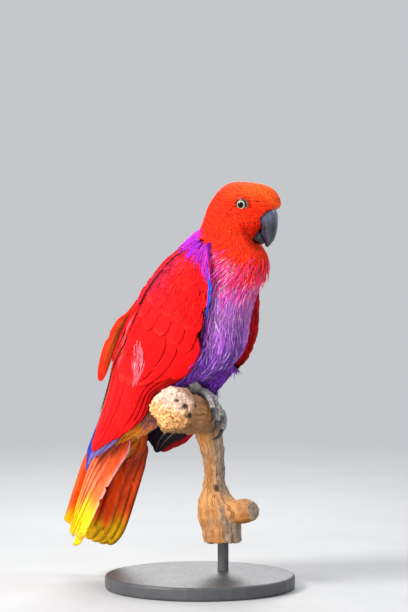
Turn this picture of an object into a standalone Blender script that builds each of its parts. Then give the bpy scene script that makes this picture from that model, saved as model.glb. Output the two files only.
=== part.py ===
"""A life-size still model of a female eclectus parrot gripping a cut length of branch, on a plain stand.

Metres, +Z up. The bird faces +X, its right side is -Y. The origin is the middle of the stand's underside.
Sizes are written in millimetres and turned into metres by MM.
"""

import math

import bmesh
import bpy
from mathutils import Matrix, Vector

MM = 0.001
GAP = 0.3  # between pieces that meet
AROUND = 24  # points round a body ring
STEPS = 2  # rings from one station to the next

# The stand: a round plate and one rod up to the branch's cut end.
BASE_RADIUS = 86.0
BASE_HEIGHT = 12.0
BASE_EDGE = 2.0
ROD_RADIUS = 5.0

BELOW = 8.0  # the heights further down are measured from this far below the stand's underside

# Body stations from the feathers under the tail to the bill: (name, x, z, lean of the travel above level in degrees,
# depth to the back, depth to the belly, half width). Those past the pivot are in the head's own frame.
LEAN = 61.4
BODY = (
    ("covert_ends", -91.0, 134.5, 50.0, 7.0, 6.0, 8.0),
    ("tail_coverts", -80.0, 145.5, 53.0, 15.5, 11.0, 15.5),
    ("tail_root", -64.8, 154.8, LEAN, 25.0, 12.0, 20.5),
    ("vent", -52.8, 172.8, LEAN, 34.0, 14.0, 29.0),
    ("rump", -38.5, 193.5, LEAN, 44.0, 20.5, 38.0),
    ("hip", -22.0, 217.0, LEAN, 50.0, 39.0, 44.5),
    ("belly", -5.5, 243.0, LEAN, 52.0, 48.5, 47.5),
    ("chest", 6.6, 270.0, LEAN, 48.5, 43.0, 44.5),
    ("upper_breast", 18.7, 293.4, 60.0, 42.0, 40.5, 40.5),
    ("neck_base", 30.8, 311.4, 61.0, 36.0, 39.5, 34.5),
    ("nape", 5.7, 321.3, 64.0, 32.5, 34.0, 28.5),
    ("occiput", 5.7, 337.0, 49.5, 28.6, 29.5, 26.0),
    ("crown", 12.4, 348.9, 26.0, 26.8, 26.0, 25.2),
    ("front", 25.2, 349.6, 4.0, 24.3, 22.4, 20.4),
    ("brow", 34.4, 349.0, -14.0, 21.4, 16.5, 14.6),
    ("bill_base", 39.6, 347.6, -32.0, 15.6, 8.2, 10.2),
    ("over_bill", 42.0, 347.0, -52.0, 8.6, 3.6, 5.8),
)
PIVOT_X, PIVOT_Z = 30.8, 317.7
FIRST_TURNED = 10  # the nape is the first station in the head's frame
HEAD_TURN = 15.0  # degrees to the bird's left
TURN_SHARE = {9: 0.2, 10: 0.6, 11: 0.87}  # of the turn, at the stations where it grows
NECK_CUT = 8.55  # station numbers where trunk and neck, and neck and head, are parted
HEAD_CUT = 10.5

# Folded wing, on the same spine: (x, z, lean, reach to the back, to the belly, sideways,
# angle of the upper edge and of the lower edge from the middle of the back, thickness).
WING = (
    (33.0, 315.5, LEAN, 38.5, 37.0, 38.0, 66.0, 92.0, 5.5),
    (27.5, 306.0, LEAN, 43.0, 40.5, 42.5, 58.0, 106.0, 7.0),
    (18.7, 293.4, LEAN, 48.5, 46.0, 48.0, 51.0, 121.0, 8.0),
    (6.6, 270.0, LEAN, 57.0, 50.0, 53.0, 47.0, 131.0, 9.0),
    (-5.5, 243.0, LEAN, 61.5, 51.0, 56.0, 44.0, 138.0, 9.0),
    (-22.0, 217.0, LEAN, 60.0, 44.0, 54.0, 41.0, 139.0, 9.0),
    (-38.5, 193.5, LEAN, 55.0, 30.0, 48.0, 38.0, 121.0, 6.5),
    (-52.8, 172.8, LEAN, 46.0, 32.0, 42.5, 37.0, 120.0, 5.0),
    (-64.8, 154.8, LEAN, 41.0, 32.0, 37.0, 38.0, 108.0, 4.0),
    (-74.5, 138.5, LEAN, 38.5, 32.0, 34.5, 41.0, 94.0, 3.0),
    (-83.5, 121.5, LEAN, 37.5, 31.0, 34.0, 46.0, 78.0, 2.2),
    (-88.5, 112.5, LEAN, 36.5, 30.0, 33.5, 50.0, 71.0, 1.8),
    (-94.5, 101.0, LEAN, 34.0, 28.0, 31.0, 56.0, 64.0, 1.4),
)
WING_ACROSS = 10
LEFT_WING_OUT = 7.0  # degrees that the left wing hangs away from the body
LEFT_WING_DOWN = 7.0  # degrees that it hangs towards the belly
LEFT_WING_SHIFT = (-2.0, -2.5, 0.0)
LEFT_WING_DRAWN_IN = (8, 0.62)  # past this station the left wing's tip is drawn in to this share
LEFT_WING_HINGE = (8.0, 0.0, 272.0)
WING_EDGE = 0.35  # of the thickness, left at the wing's long edges

# Tail: a steep tent of feathers under one ridge, steeper on the right at its root than at its end.
# (x, z, half breadth, slope of the right side, of the left side, thickness, extra breadth on the left) down the ridge.
TAIL = (
    (-84.0, 160.0, 22.0, 68.0, 58.0, 5.0, 5.0),
    (-96.0, 149.5, 32.0, 68.0, 58.0, 4.6, 11.0),
    (-108.5, 138.0, 40.0, 66.0, 58.0, 4.2, 12.5),
    (-118.0, 126.0, 44.0, 64.0, 58.0, 3.8, 11.5),
    (-125.0, 114.0, 46.5, 62.0, 58.0, 3.4, 9.5),
    (-131.5, 98.0, 48.5, 58.0, 58.0, 2.8, 6.5),
    (-137.5, 82.0, 50.0, 54.5, 58.0, 2.4, 3.5),
    (-142.5, 68.0, 49.5, 52.0, 57.0, 2.0, 1.5),
    (-145.3, 60.0, 46.5, 51.0, 56.0, 1.7, 0.0),
    (-146.6, 56.5, 40.0, 50.0, 56.0, 1.4, 0.0),
    (-147.4, 54.0, 27.0, 50.0, 56.0, 1.2, 0.0),
)
TAIL_LEFT_LONGER = 9.0  # by which the left half's outer feathers reach further
TAIL_ACROSS = 5

# Upper and lower bill in the head's frame: (x, z, travel, depth up, depth down, half width).
BILL_UPPER = (
    (30.5, 344.0, -10.0, 8.0, 9.0, 7.8),
    (37.0, 343.1, -39.0, 11.2, 9.6, 9.1),
    (40.0, 337.3, -67.0, 7.0, 7.9, 7.9),
    (39.9, 330.4, -88.0, 5.6, 8.7, 6.4),
    (38.5, 323.8, -100.0, 4.5, 6.2, 4.5),
    (36.5, 316.8, -108.0, 0.9, 0.9, 0.9),
)
BILL_LOWER = (
    (22.0, 327.0, -6.0, 4.8, 5.4, 7.6),
    (28.0, 325.6, -2.0, 8.0, 6.0, 7.4),
    (32.2, 324.6, 4.0, 8.0, 5.4, 6.0),
    (35.2, 324.6, 15.0, 1.4, 2.4, 3.0),
)

EYE = (19.6, 354.6)
EYE_SIDE = 18.4  # from the head's middle plane to the eye's centre
EYE_RADIUS = 5.4

# Branch: (x, y, z, radius) from the broken knob, over the bend, down to the cut end, and a broken side stub.
BRANCH = (
    (4.0, -54.0, 173.0, 15.5),
    (3.5, -50.0, 173.0, 20.5),
    (3.0, -41.0, 172.0, 21.5),
    (3.0, -28.0, 168.0, 18.0),
    (2.0, -13.0, 166.5, 18.5),
    (-1.5, 3.0, 162.0, 15.0),
    (-3.5, 15.5, 153.0, 13.0),
    (-4.0, 23.5, 137.0, 11.2),
    (-4.0, 28.0, 118.0, 9.4),
    (-4.6, 29.5, 99.0, 10.2),
    (-3.5, 29.5, 86.0, 15.5),
    (0.0, 28.5, 75.0, 20.0),
    (4.0, 28.0, 61.0, 18.5),
    (6.0, 28.0, 44.0, 17.5),
)
STUB = ((4.0, 28.5, 76.0, 13.0), (18.0, 28.0, 75.0, 11.5), (32.0, 27.0, 77.0, 10.5), (41.0, 26.5, 78.0, 9.0))
BRANCH_AROUND = 14

# Feet. A foot grips round one place of the branch, and its toes bend over the front and the back of it.
FEET = {
    "right": {"at": (1.8, -12.0, 166.2), "radius": 18.3, "run": (-2.0, 19.0, -4.5)},
    "left": {"at": (-2.7, 10.5, 157.4), "radius": 14.2, "run": (-2.0, 12.5, -9.0)},
}
ANKLE = {"right": (1.0, -15.0, 196.0), "left": (-1.0, 14.0, 183.0)}
HIP = {"right": (4.0, -22.0, 219.0), "left": (6.0, 22.0, 213.0)}
THIGH_RADIUS = 18.0
ANKLE_RADIUS = 5.5
# Toes: (name, which way it bends, shift along the branch at its root, at its tip, bend in degrees).
TOES = (
    ("front_inner", 1, -2.4, -5.5, 74.0),
    ("front_outer", 1, 2.4, 5.5, 98.0),
    ("back_inner", -1, -2.4, -5.0, 62.0),
    ("back_outer", -1, 2.4, 5.0, 92.0),
)
TOE_RADIUS = 3.3
CLAW_LENGTH = 10.5
CLAW_RADIUS = 1.7

# One loose shoulder feather that stands off the back: (x, y, z, half breadth) along its shaft.
LOOSE_FEATHER = (
    (-47.0, -34.5, 264.0, 2.2),
    (-62.0, -34.5, 247.0, 4.2),
    (-76.0, -34.0, 225.0, 5.4),
    (-84.5, -33.0, 205.0, 5.2),
    (-88.0, -32.5, 194.5, 2.2),
)
LOOSE_THICKNESS = 0.8

COLOURS = {
    "red_feathers": ((0.62, 0.015, 0.010, 1.0), 0.55),
    "violet_feathers": ((0.20, 0.05, 0.42, 1.0), 0.60),
    "tail_feathers": ((0.75, 0.16, 0.02, 1.0), 0.55),
    "black_bill": ((0.02, 0.02, 0.028, 1.0), 0.30),
    "grey_skin": ((0.30, 0.30, 0.32, 1.0), 0.60),
    "eye": ((0.02, 0.02, 0.02, 1.0), 0.08),
    "wood": ((0.45, 0.27, 0.14, 1.0), 0.80),
    "stand": ((0.06, 0.055, 0.05, 1.0), 0.45),
}


def clear_scene():
    for obj in list(bpy.data.objects):
        bpy.data.objects.remove(obj, do_unlink=True)


def collection(name):
    made = bpy.data.collections.new(name)
    bpy.context.scene.collection.children.link(made)
    return made


def material(name):
    made = bpy.data.materials.get(name)
    if made is None:
        colour, roughness = COLOURS[name]
        made = bpy.data.materials.new(name)
        made.use_nodes = True
        shader = made.node_tree.nodes["Principled BSDF"]
        shader.inputs["Base Color"].default_value = colour
        shader.inputs["Roughness"].default_value = roughness
    return made


def between(rows, place):
    """A row of numbers at a place between stations, on a smooth curve through them."""
    last = len(rows) - 1
    first = min(int(place), last - 1)
    share = place - first
    p0, p1, p2, p3 = (rows[min(max(first + k, 0), last)] for k in (-1, 0, 1, 2))
    found = []
    for a, b, c, d in zip(p0, p1, p2, p3):
        found.append(
            b + 0.5 * share * (c - a + share * (2 * a - 5 * b + 4 * c - d + share * (3 * (b - c) + d - a)))
        )
    return found


def mesh_object(name, bm, look, where, smooth=True):
    """A finished object from a bmesh in millimetres."""
    bmesh.ops.recalc_face_normals(bm, faces=bm.faces)
    bmesh.ops.translate(bm, vec=(0, 0, -BELOW), verts=bm.verts)
    bmesh.ops.scale(bm, vec=(MM, MM, MM), verts=bm.verts)
    mesh = bpy.data.meshes.new(name)
    bm.to_mesh(mesh)
    bm.free()
    if smooth:
        mesh.shade_smooth()
    mesh.materials.append(material(look))
    obj = bpy.data.objects.new(name, mesh)
    where.objects.link(obj)
    return obj


def loft(rings):
    """A bmesh skinned over rings of equal count, closed by a face at each end."""
    bm = bmesh.new()
    rows = [[bm.verts.new(point) for point in ring] for ring in rings]
    count = len(rows[0])
    for lower, upper in zip(rows, rows[1:]):
        for i in range(count):
            j = (i + 1) % count
            bm.faces.new((lower[i], lower[j], upper[j], upper[i]))
    bm.faces.new(list(reversed(rows[0])))
    bm.faces.new(rows[-1])
    bmesh.ops.recalc_face_normals(bm, faces=bm.faces)
    return bm


def head_turn(place):
    """Degrees by which the head's turn applies at a station place."""
    first = int(place)
    shares = [TURN_SHARE.get(k, 0.0 if k < FIRST_TURNED else 1.0) for k in (first, first + 1)]
    return HEAD_TURN * (shares[0] + (shares[1] - shares[0]) * (place - first))


def turned(point, degrees):
    """A point turned about the upright through the head's pivot."""
    spin = Matrix.Rotation(math.radians(degrees), 3, "Z")
    pivot = Vector((PIVOT_X, 0, 0))
    return spin @ (Vector(point) - pivot) + pivot


def body_rows():
    """The body stations as plain rows in one frame, before the head's turn."""
    rows = []
    for number, (_, x, z, lean, back, belly, side) in enumerate(BODY):
        shift = PIVOT_X if number >= FIRST_TURNED else 0.0
        rows.append((x + shift, z, lean, back, belly, side))
    return rows


def ring_point(x, z, lean, back, belly, side, angle):
    """A point of a ring at an angle from the middle of the back towards the bird's right."""
    up = Vector((-math.sin(math.radians(lean)), 0, math.cos(math.radians(lean))))
    depth = back if math.cos(angle) > 0 else belly
    return Vector((x, 0, z)) + up * depth * math.cos(angle) + Vector((0, -side * math.sin(angle), 0))


def body_ring(rows, place, grow=0.0):
    x, z, lean, back, belly, side = between(rows, place)
    ring = []
    for i in range(AROUND):
        angle = 2 * math.pi * i / AROUND
        point = ring_point(x, z, lean, back + grow, belly + grow, side + grow, angle)
        ring.append(turned(point, head_turn(place)))
    return ring


def spread_ends(rings, grow):
    """Moves the end rings outward along the run by an amount, so that a grown solid is grown there too."""
    for end, beside in ((0, 1), (-1, -2)):
        middle = sum(rings[end], Vector()) / len(rings[end])
        inner = sum(rings[beside], Vector()) / len(rings[beside])
        step = (middle - inner).normalized() * grow
        rings[end] = [point + step for point in rings[end]]
    return rings


def body_whole(grow=0.0):
    rows = body_rows()
    last = (len(rows) - 1) * STEPS
    return loft(spread_ends([body_ring(rows, i / STEPS, grow) for i in range(last + 1)], grow))


def cut_plane(place):
    """Centre and normal of the plane of the body ring at a place."""
    x, z, lean, *_ = between(body_rows(), place)
    normal = Vector((math.cos(math.radians(lean)), 0, math.sin(math.radians(lean))))
    return turned((x, 0, z), head_turn(place)), Matrix.Rotation(math.radians(head_turn(place)), 3, "Z") @ normal


def keep_side(bm, place, above):
    """Cuts a closed body at a ring's plane and keeps what is above or below it, with half the gap left free."""
    centre, normal = cut_plane(place)
    shift = GAP / 2 if above else -GAP / 2
    geometry = bm.verts[:] + bm.edges[:] + bm.faces[:]
    cut = bmesh.ops.bisect_plane(
        bm,
        geom=geometry,
        plane_co=centre + normal * shift,
        plane_no=normal,
        clear_inner=above,
        clear_outer=not above,
    )
    edges = [item for item in cut["geom_cut"] if isinstance(item, bmesh.types.BMEdge)]
    bmesh.ops.holes_fill(bm, edges=edges, sides=0)
    return bm


def cutter(name, bm, where):
    obj = mesh_object(name, bm, "wood", where)
    obj.hide_render = True
    obj.display_type = "WIRE"
    return obj


def subtract(obj, *others):
    for other in others:
        cut = obj.modifiers.new("cut_" + other.name, "BOOLEAN")
        cut.operation = "DIFFERENCE"
        cut.solver = "EXACT"
        cut.object = other


def unite(obj, *others):
    for other in others:
        join = obj.modifiers.new("join_" + other.name, "BOOLEAN")
        join.operation = "UNION"
        join.solver = "EXACT"
        join.object = other


def head_point(x, y, z):
    """A point given in the head's own frame, in the frame of the whole bird."""
    return turned((x + PIVOT_X, y, z), HEAD_TURN)


def bill(stations, grow=0.0, around=12, steps=2):
    rings = []
    for i in range((len(stations) - 1) * steps + 1):
        x, z, lean, up, down, side = between(stations, i / steps)
        ring = []
        for k in range(around):
            angle = 2 * math.pi * k / around
            local = ring_point(x, z, lean, up + grow, down + grow, side + grow, angle)
            ring.append(head_point(local.x, local.y, local.z))
        rings.append(ring)
    return loft(spread_ends(rings, grow))


def ball(centre, radius, rings=12):
    bm = bmesh.new()
    bmesh.ops.create_uvsphere(
        bm, u_segments=2 * rings, v_segments=rings, radius=radius, matrix=Matrix.Translation(centre)
    )
    return bm


def eye_centre(side):
    return head_point(EYE[0], side * EYE_SIDE, EYE[1])


def tube(stations, around, steps, cap_last=True):
    """A tapering tube through (x, y, z, radius) stations, with rings square to its run."""
    last = (len(stations) - 1) * steps
    points = [between(stations, i / steps) for i in range(last + 1)]
    rings = []
    side = None
    for i, (x, y, z, radius) in enumerate(points):
        before, after = points[max(i - 1, 0)], points[min(i + 1, last)]
        run = (Vector(after[:3]) - Vector(before[:3])).normalized()
        if side is None:
            side = run.orthogonal().normalized()
        side = (side - run * side.dot(run)).normalized()
        other = run.cross(side)
        ring = []
        for k in range(around):
            angle = 2 * math.pi * k / around
            ring.append(Vector((x, y, z)) + radius * (side * math.cos(angle) + other * math.sin(angle)))
        rings.append(ring)
    return loft(rings)


def shell(grid, backs):
    """A closed slab between two equal grids of points: an outer and an inner one."""
    bm = bmesh.new()
    front = [[bm.verts.new(p) for p in row] for row in grid]
    rear = [[bm.verts.new(p) for p in row] for row in backs]
    rows, columns = len(front), len(front[0])
    for i in range(rows - 1):
        for j in range(columns - 1):
            bm.faces.new((front[i][j], front[i + 1][j], front[i + 1][j + 1], front[i][j + 1]))
            bm.faces.new((rear[i][j], rear[i][j + 1], rear[i + 1][j + 1], rear[i + 1][j]))
    for i in range(rows - 1):
        for j in (0, columns - 1):
            bm.faces.new((front[i][j], rear[i][j], rear[i + 1][j], front[i + 1][j]))
    for j in range(columns - 1):
        for i in (0, rows - 1):
            bm.faces.new((front[i][j], front[i][j + 1], rear[i][j + 1], rear[i][j]))
    return bm


def wing_surfaces(side, grow=0.0, steps=2):
    """Outer and inner grids of a folded wing on one side: -1 is the bird's right."""
    outer, inner = [], []
    hinge = Vector(LEFT_WING_HINGE)
    back_normal = Vector((-math.sin(math.radians(LEAN)), 0, math.cos(math.radians(LEAN))))
    swing = Matrix.Identity(3)
    shift = Vector()
    if side > 0:
        down = Matrix.Rotation(math.radians(-LEFT_WING_DOWN), 3, "Y")
        swing = Matrix.Rotation(math.radians(LEFT_WING_OUT), 3, -back_normal) @ down
        shift = Vector(LEFT_WING_SHIFT)
    for i in range((len(WING) - 1) * steps + 1):
        x, z, lean, back, belly, width, top, low, thick = between(WING, i / steps)
        station, share = LEFT_WING_DRAWN_IN
        if side > 0 and i / steps > station:
            x, z = (WING[station][n] + (value - WING[station][n]) * share for n, value in ((0, x), (1, z)))
        out_row, in_row = [], []
        for k in range(WING_ACROSS):
            share = k / (WING_ACROSS - 1)
            angle = math.radians(top + (low - top) * share)
            edge = WING_EDGE + (1 - WING_EDGE) * math.sin(math.pi * share) ** 0.6
            for row, more in ((out_row, grow), (in_row, -thick * edge - grow)):
                point = ring_point(x, z, lean, back + more, belly + more, width + more, angle)
                point.y *= -side
                row.append(swing @ (point - hinge) + hinge + shift)
        outer.append(out_row)
        inner.append(in_row)
    return outer, inner


def tail_surfaces(steps=2):
    """Outer and inner grids of the tail, over its ridge from the right edge to the left one."""
    outer, inner = [], []
    last = len(TAIL) - 1
    for i in range(last * steps + 1):
        x, z, half, slope_right, slope_left, thick, wider = between(TAIL, i / steps)
        after = between(TAIL, min(i / steps + 0.5, last))
        before = between(TAIL, max(i / steps - 0.5, 0))
        run = Vector((after[0] - before[0], 0, after[1] - before[1])).normalized()
        down = Vector((-run.z, 0, run.x))
        out_row, in_row = [], []
        for k in range(-TAIL_ACROSS, TAIL_ACROSS + 1):
            side = -1 if k < 0 else 1
            share = abs(k) / TAIL_ACROSS
            slope = math.radians(slope_right if k < 0 else slope_left) * min(1.0, 0.55 + 0.9 * share)
            across = Vector((0, side * math.cos(slope), 0)) + down * math.sin(slope)
            through = down * math.cos(slope) - Vector((0, side * math.sin(slope), 0))
            point = Vector((x, 0, z)) + across * (half + (wider if k > 0 else 0.0)) * share
            if k > 0:
                point += run * TAIL_LEFT_LONGER * share * (i / (last * steps)) ** 3
            out_row.append(point)
            in_row.append(point + (through if k else down) * thick * (1.0 - 0.5 * share))
        outer.append(out_row)
        inner.append(in_row)
    return outer, inner


def toe_path(foot, toe, lift, claw=False):
    """Stations of a toe, or of its claw, bent round the branch."""
    _, way, shift, spread, bend = toe
    run = Vector(foot["run"]).normalized()
    front = Vector((1, 0, 0))
    front = (front - run * front.dot(run)).normalized()
    top = front.cross(run)
    if top.z < 0:
        top = -top
    centre = Vector(foot["at"])
    stations = []
    if claw:
        first, last, count = bend + 3.0, bend + 3.0 + math.degrees(CLAW_LENGTH / foot["radius"]), 5
    else:
        first, last, count = 4.0, bend, 7
    for i in range(count):
        share = i / (count - 1)
        angle = math.radians(first + (last - first) * share)
        along = spread if claw else shift + (spread - shift) * share
        if claw:
            radius = CLAW_RADIUS * (1 - share) ** 0.7 + 0.35
            reach = foot["radius"] + lift - 0.4 + 3.2 * math.sin(math.pi * share) * 0.6
        else:
            radius = TOE_RADIUS * (1 - 0.30 * share)
            reach = foot["radius"] + lift
        place = centre + run * along + reach * (top * math.cos(angle) + front * way * math.sin(angle))
        stations.append((*place, radius))
    return stations


def add_bird(parts, helpers):
    whole_cutter = cutter("whole_body_cutter", body_whole(GAP), helpers)
    mesh_object("trunk", keep_side(body_whole(), NECK_CUT, False), "violet_feathers", parts)
    neck = keep_side(keep_side(body_whole(), NECK_CUT, True), HEAD_CUT, False)
    mesh_object("neck", neck, "red_feathers", parts)
    head = mesh_object("head", keep_side(body_whole(), HEAD_CUT, True), "red_feathers", parts)
    upper_cutter = cutter("bill_upper_cutter", bill(BILL_UPPER, GAP), helpers)
    lower_cutter = cutter("bill_lower_cutter", bill(BILL_LOWER, GAP), helpers)
    mesh_object("bill_upper", bill(BILL_UPPER), "black_bill", parts)
    lower = mesh_object("bill_lower", bill(BILL_LOWER), "black_bill", parts)
    subtract(lower, upper_cutter)
    subtract(head, upper_cutter, lower_cutter)
    for name, side in (("right", -1), ("left", 1)):
        mesh_object("eye_" + name, ball(eye_centre(side), EYE_RADIUS, 6), "eye", parts)
        socket = cutter("socket_" + name, ball(eye_centre(side), EYE_RADIUS + GAP, 6), helpers)
        subtract(head, socket)
    tail = mesh_object("tail", shell(*tail_surfaces()), "tail_feathers", parts)
    subtract(tail, whole_cutter)
    for name, side in (("right", -1), ("left", 1)):
        wing = mesh_object("wing_" + name, shell(*wing_surfaces(side)), "red_feathers", parts)
        subtract(wing, whole_cutter)
    wing_cutters = {}
    for name, side in (("right", -1), ("left", 1)):
        wing_cutters[name] = cutter("wing_cutter_" + name, shell(*wing_surfaces(side, GAP)), helpers)
    add_loose_feather(parts, whole_cutter, wing_cutters["right"])
    return whole_cutter, wing_cutters


def add_loose_feather(parts, *cutters):
    steps = 3
    outer, inner = [], []
    for i in range((len(LOOSE_FEATHER) - 1) * steps + 1):
        x, y, z, half = between(LOOSE_FEATHER, i / steps)
        across = Vector((0.80, 0.45, 0.40)).normalized()
        through = Vector((0.40, -0.89, 0.0)).normalized()
        out_row, in_row = [], []
        for share in (-1.0, -0.4, 0.4, 1.0):
            point = Vector((x, y, z)) + across * half * share + through * (1 - share * share) * 0.8
            out_row.append(point)
            in_row.append(point - through * LOOSE_THICKNESS)
        outer.append(out_row)
        inner.append(in_row)
    feather = mesh_object("shoulder_feather", shell(outer, inner), "red_feathers", parts)
    subtract(feather, *cutters)


def add_legs(parts, helpers, whole_cutter, wing_cutters):
    grown = [(*station[:3], station[3] + GAP) for station in BRANCH]
    branch_cutter = cutter("branch_cutter", tube(grown, BRANCH_AROUND, 2), helpers)
    for name, foot in FEET.items():
        hip, ankle = Vector(HIP[name]), Vector(ANKLE[name])
        top = (*hip, THIGH_RADIUS)
        middle = (*hip.lerp(ankle, 0.5), 0.72 * THIGH_RADIUS)
        low = (*hip.lerp(ankle, 0.85), 1.45 * ANKLE_RADIUS)
        thigh_bm = tube((top, middle, low, (*ankle, ANKLE_RADIUS)), 14, 2)
        thigh = mesh_object("leg_" + name, thigh_bm, "violet_feathers", parts)
        subtract(thigh, whole_cutter, wing_cutters[name])
        lift = TOE_RADIUS + GAP + 0.15
        run = Vector(foot["run"]).normalized()
        crown = Vector((1, 0, 0)).cross(run)
        crown = crown if crown.z > 0 else -crown
        pad = Vector(foot["at"]) + crown.normalized() * (foot["radius"] + lift + 0.2)
        shank = tube(((*pad, 5.0), (*pad.lerp(ankle, 0.5), 4.4), (*ankle.lerp(pad, 0.06), 4.0)), 10, 2)
        body = mesh_object("foot_" + name, shank, "grey_skin", parts)
        joined = []
        for toe in TOES:
            made = tube(toe_path(foot, toe, lift), 8, 1)
            joined.append(cutter("toe_" + name + "_" + toe[0], made, helpers))
        unite(body, *joined)
        subtract(body, branch_cutter, whole_cutter)
        thigh_gap = tube(((*pad, 5.3), (*pad.lerp(ankle, 0.5), 4.8), (*ankle.lerp(hip, 0.2), 4.6)), 10, 2)
        subtract(thigh, cutter("shank_cutter_" + name, thigh_gap, helpers))
        for toe in TOES:
            made = tube(toe_path(foot, toe, lift, claw=True), 6, 1)
            claw = mesh_object("claw_" + name + "_" + toe[0], made, "black_bill", parts)
            toe_cutter = cutter("toe_end_" + name + "_" + toe[0], toe_end(foot, toe, lift), helpers)
            subtract(claw, toe_cutter, branch_cutter)


def toe_end(foot, toe, lift):
    """The toe, thicker by the gap, to part its claw from it."""
    stations = toe_path(foot, toe, lift)
    x, y, z, radius = stations[-1]
    before = Vector(stations[-2][:3])
    tip = Vector((x, y, z)) + (Vector((x, y, z)) - before).normalized() * GAP
    grown = [(*station[:3], station[3] + GAP) for station in stations[:-1]]
    return tube([*grown, (*tip, radius + GAP)], 8, 1)


def add_perch(parts, helpers):
    perch = mesh_object("perch_branch", tube(BRANCH, BRANCH_AROUND, 2), "wood", parts)
    unite(perch, cutter("perch_stub", tube(STUB, 10, 2), helpers))
    x, y, z, _ = BRANCH[-1]
    floor = bmesh.new()
    bmesh.ops.create_cube(floor, size=80.0, matrix=Matrix.Translation((x, y, z - 40.0 + 3.0)))
    subtract(perch, cutter("perch_saw_cut", floor, helpers))
    return x, y, z + 3.0 - BELOW


def add_stand(parts, rod_top):
    x, y, top = rod_top
    bpy.ops.mesh.primitive_cylinder_add(
        vertices=40, radius=BASE_RADIUS * MM, depth=BASE_HEIGHT * MM, location=(0, 0, BASE_HEIGHT * MM / 2)
    )
    base = bpy.context.active_object
    base.name = "stand_base"
    rounding = base.modifiers.new("edge", "BEVEL")
    rounding.width = BASE_EDGE * MM
    rounding.segments = 2
    rounding.limit_method = "ANGLE"
    height = top - GAP - (BASE_HEIGHT + GAP)
    bpy.ops.mesh.primitive_cylinder_add(
        vertices=24,
        radius=ROD_RADIUS * MM,
        depth=height * MM,
        location=(x * MM, y * MM, (BASE_HEIGHT + GAP + height / 2) * MM),
    )
    rod = bpy.context.active_object
    rod.name = "stand_rod"
    for obj in (base, rod):
        obj.data.shade_smooth()
        obj.data.set_sharp_from_angle(angle=math.radians(40))
        obj.data.materials.append(material("stand"))
        for holder in list(obj.users_collection):
            holder.objects.unlink(obj)
        parts.objects.link(obj)


def main():
    clear_scene()
    parts = collection("eclectus_parrot")
    helpers = collection("helpers")
    whole_cutter, wing_cutters = add_bird(parts, helpers)
    add_legs(parts, helpers, whole_cutter, wing_cutters)
    rod_top = add_perch(parts, helpers)
    add_stand(parts, rod_top)


main()
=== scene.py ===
"""The looks of a life-size female eclectus parrot gripping a cut branch on a plain stand.

One skin lies under the coat. Over it lie small feathers on the head, hair-like ones on the breast, and broad vanes
on wings and tail. Lengths in the tables are millimetres; the scene is in metres.
"""

import itertools
import math

import bmesh
import bpy
import numpy as np
from mathutils import Matrix, Vector


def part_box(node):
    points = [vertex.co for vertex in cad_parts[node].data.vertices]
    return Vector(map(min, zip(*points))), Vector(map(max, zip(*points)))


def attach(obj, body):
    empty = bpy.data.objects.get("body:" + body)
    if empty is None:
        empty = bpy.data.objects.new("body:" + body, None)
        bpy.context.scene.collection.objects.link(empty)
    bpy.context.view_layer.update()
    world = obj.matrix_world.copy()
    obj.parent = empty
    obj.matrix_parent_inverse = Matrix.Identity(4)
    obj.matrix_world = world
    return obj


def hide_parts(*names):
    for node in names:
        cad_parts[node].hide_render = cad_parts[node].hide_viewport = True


MM = 0.001
BELOW = 8.0  # the tables' heights are measured from this far below the stand's underside
COAT_DEPTH = 1.6  # how far the skin lies inside the solids
LEAN = 61.4
PROBE = 0.02  # how far to either side a surface's direction is read, in its own coordinates
BATCH = 4000  # points whose nearest neighbours are looked for at once
SIDES = {-1: "right", 1: "left"}

# Spine stations from the feathers under the tail to the bill:
# (x, z, lean of the travel, depth to the back, depth to the belly, half width). Past FIRST_TURNED, x is from PIVOT_X.
BODY = np.array(
    (
        (-91.0, 134.5, 50.0, 7.0, 6.0, 8.0),
        (-80.0, 145.5, 53.0, 15.5, 11.0, 15.5),
        (-64.8, 154.8, LEAN, 25.0, 12.0, 20.5),
        (-52.8, 172.8, LEAN, 34.0, 14.0, 29.0),
        (-38.5, 193.5, LEAN, 44.0, 20.5, 38.0),
        (-22.0, 217.0, LEAN, 50.0, 39.0, 44.5),
        (-5.5, 243.0, LEAN, 52.0, 48.5, 47.5),
        (6.6, 270.0, LEAN, 48.5, 43.0, 44.5),
        (18.7, 293.4, 60.0, 42.0, 40.5, 40.5),
        (30.8, 311.4, 61.0, 36.0, 39.5, 34.5),
        (5.7, 321.3, 64.0, 32.5, 34.0, 28.5),
        (5.7, 337.0, 49.5, 28.6, 29.5, 26.0),
        (12.4, 348.9, 26.0, 26.8, 26.0, 25.2),
        (25.2, 349.6, 4.0, 24.3, 22.4, 20.4),
        (34.4, 349.0, -14.0, 21.4, 16.5, 14.6),
        (39.6, 347.6, -32.0, 15.6, 8.2, 10.2),
        (42.0, 347.0, -52.0, 8.6, 3.6, 5.8),
    )
)
PIVOT_X = 30.8
FIRST_TURNED = 10
HEAD_TURN = 15.0
HEAD_COS, HEAD_SIN = math.cos(math.radians(HEAD_TURN)), math.sin(math.radians(HEAD_TURN))
TURN_SHARE = {9: 0.2, 10: 0.6, 11: 0.87}

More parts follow.
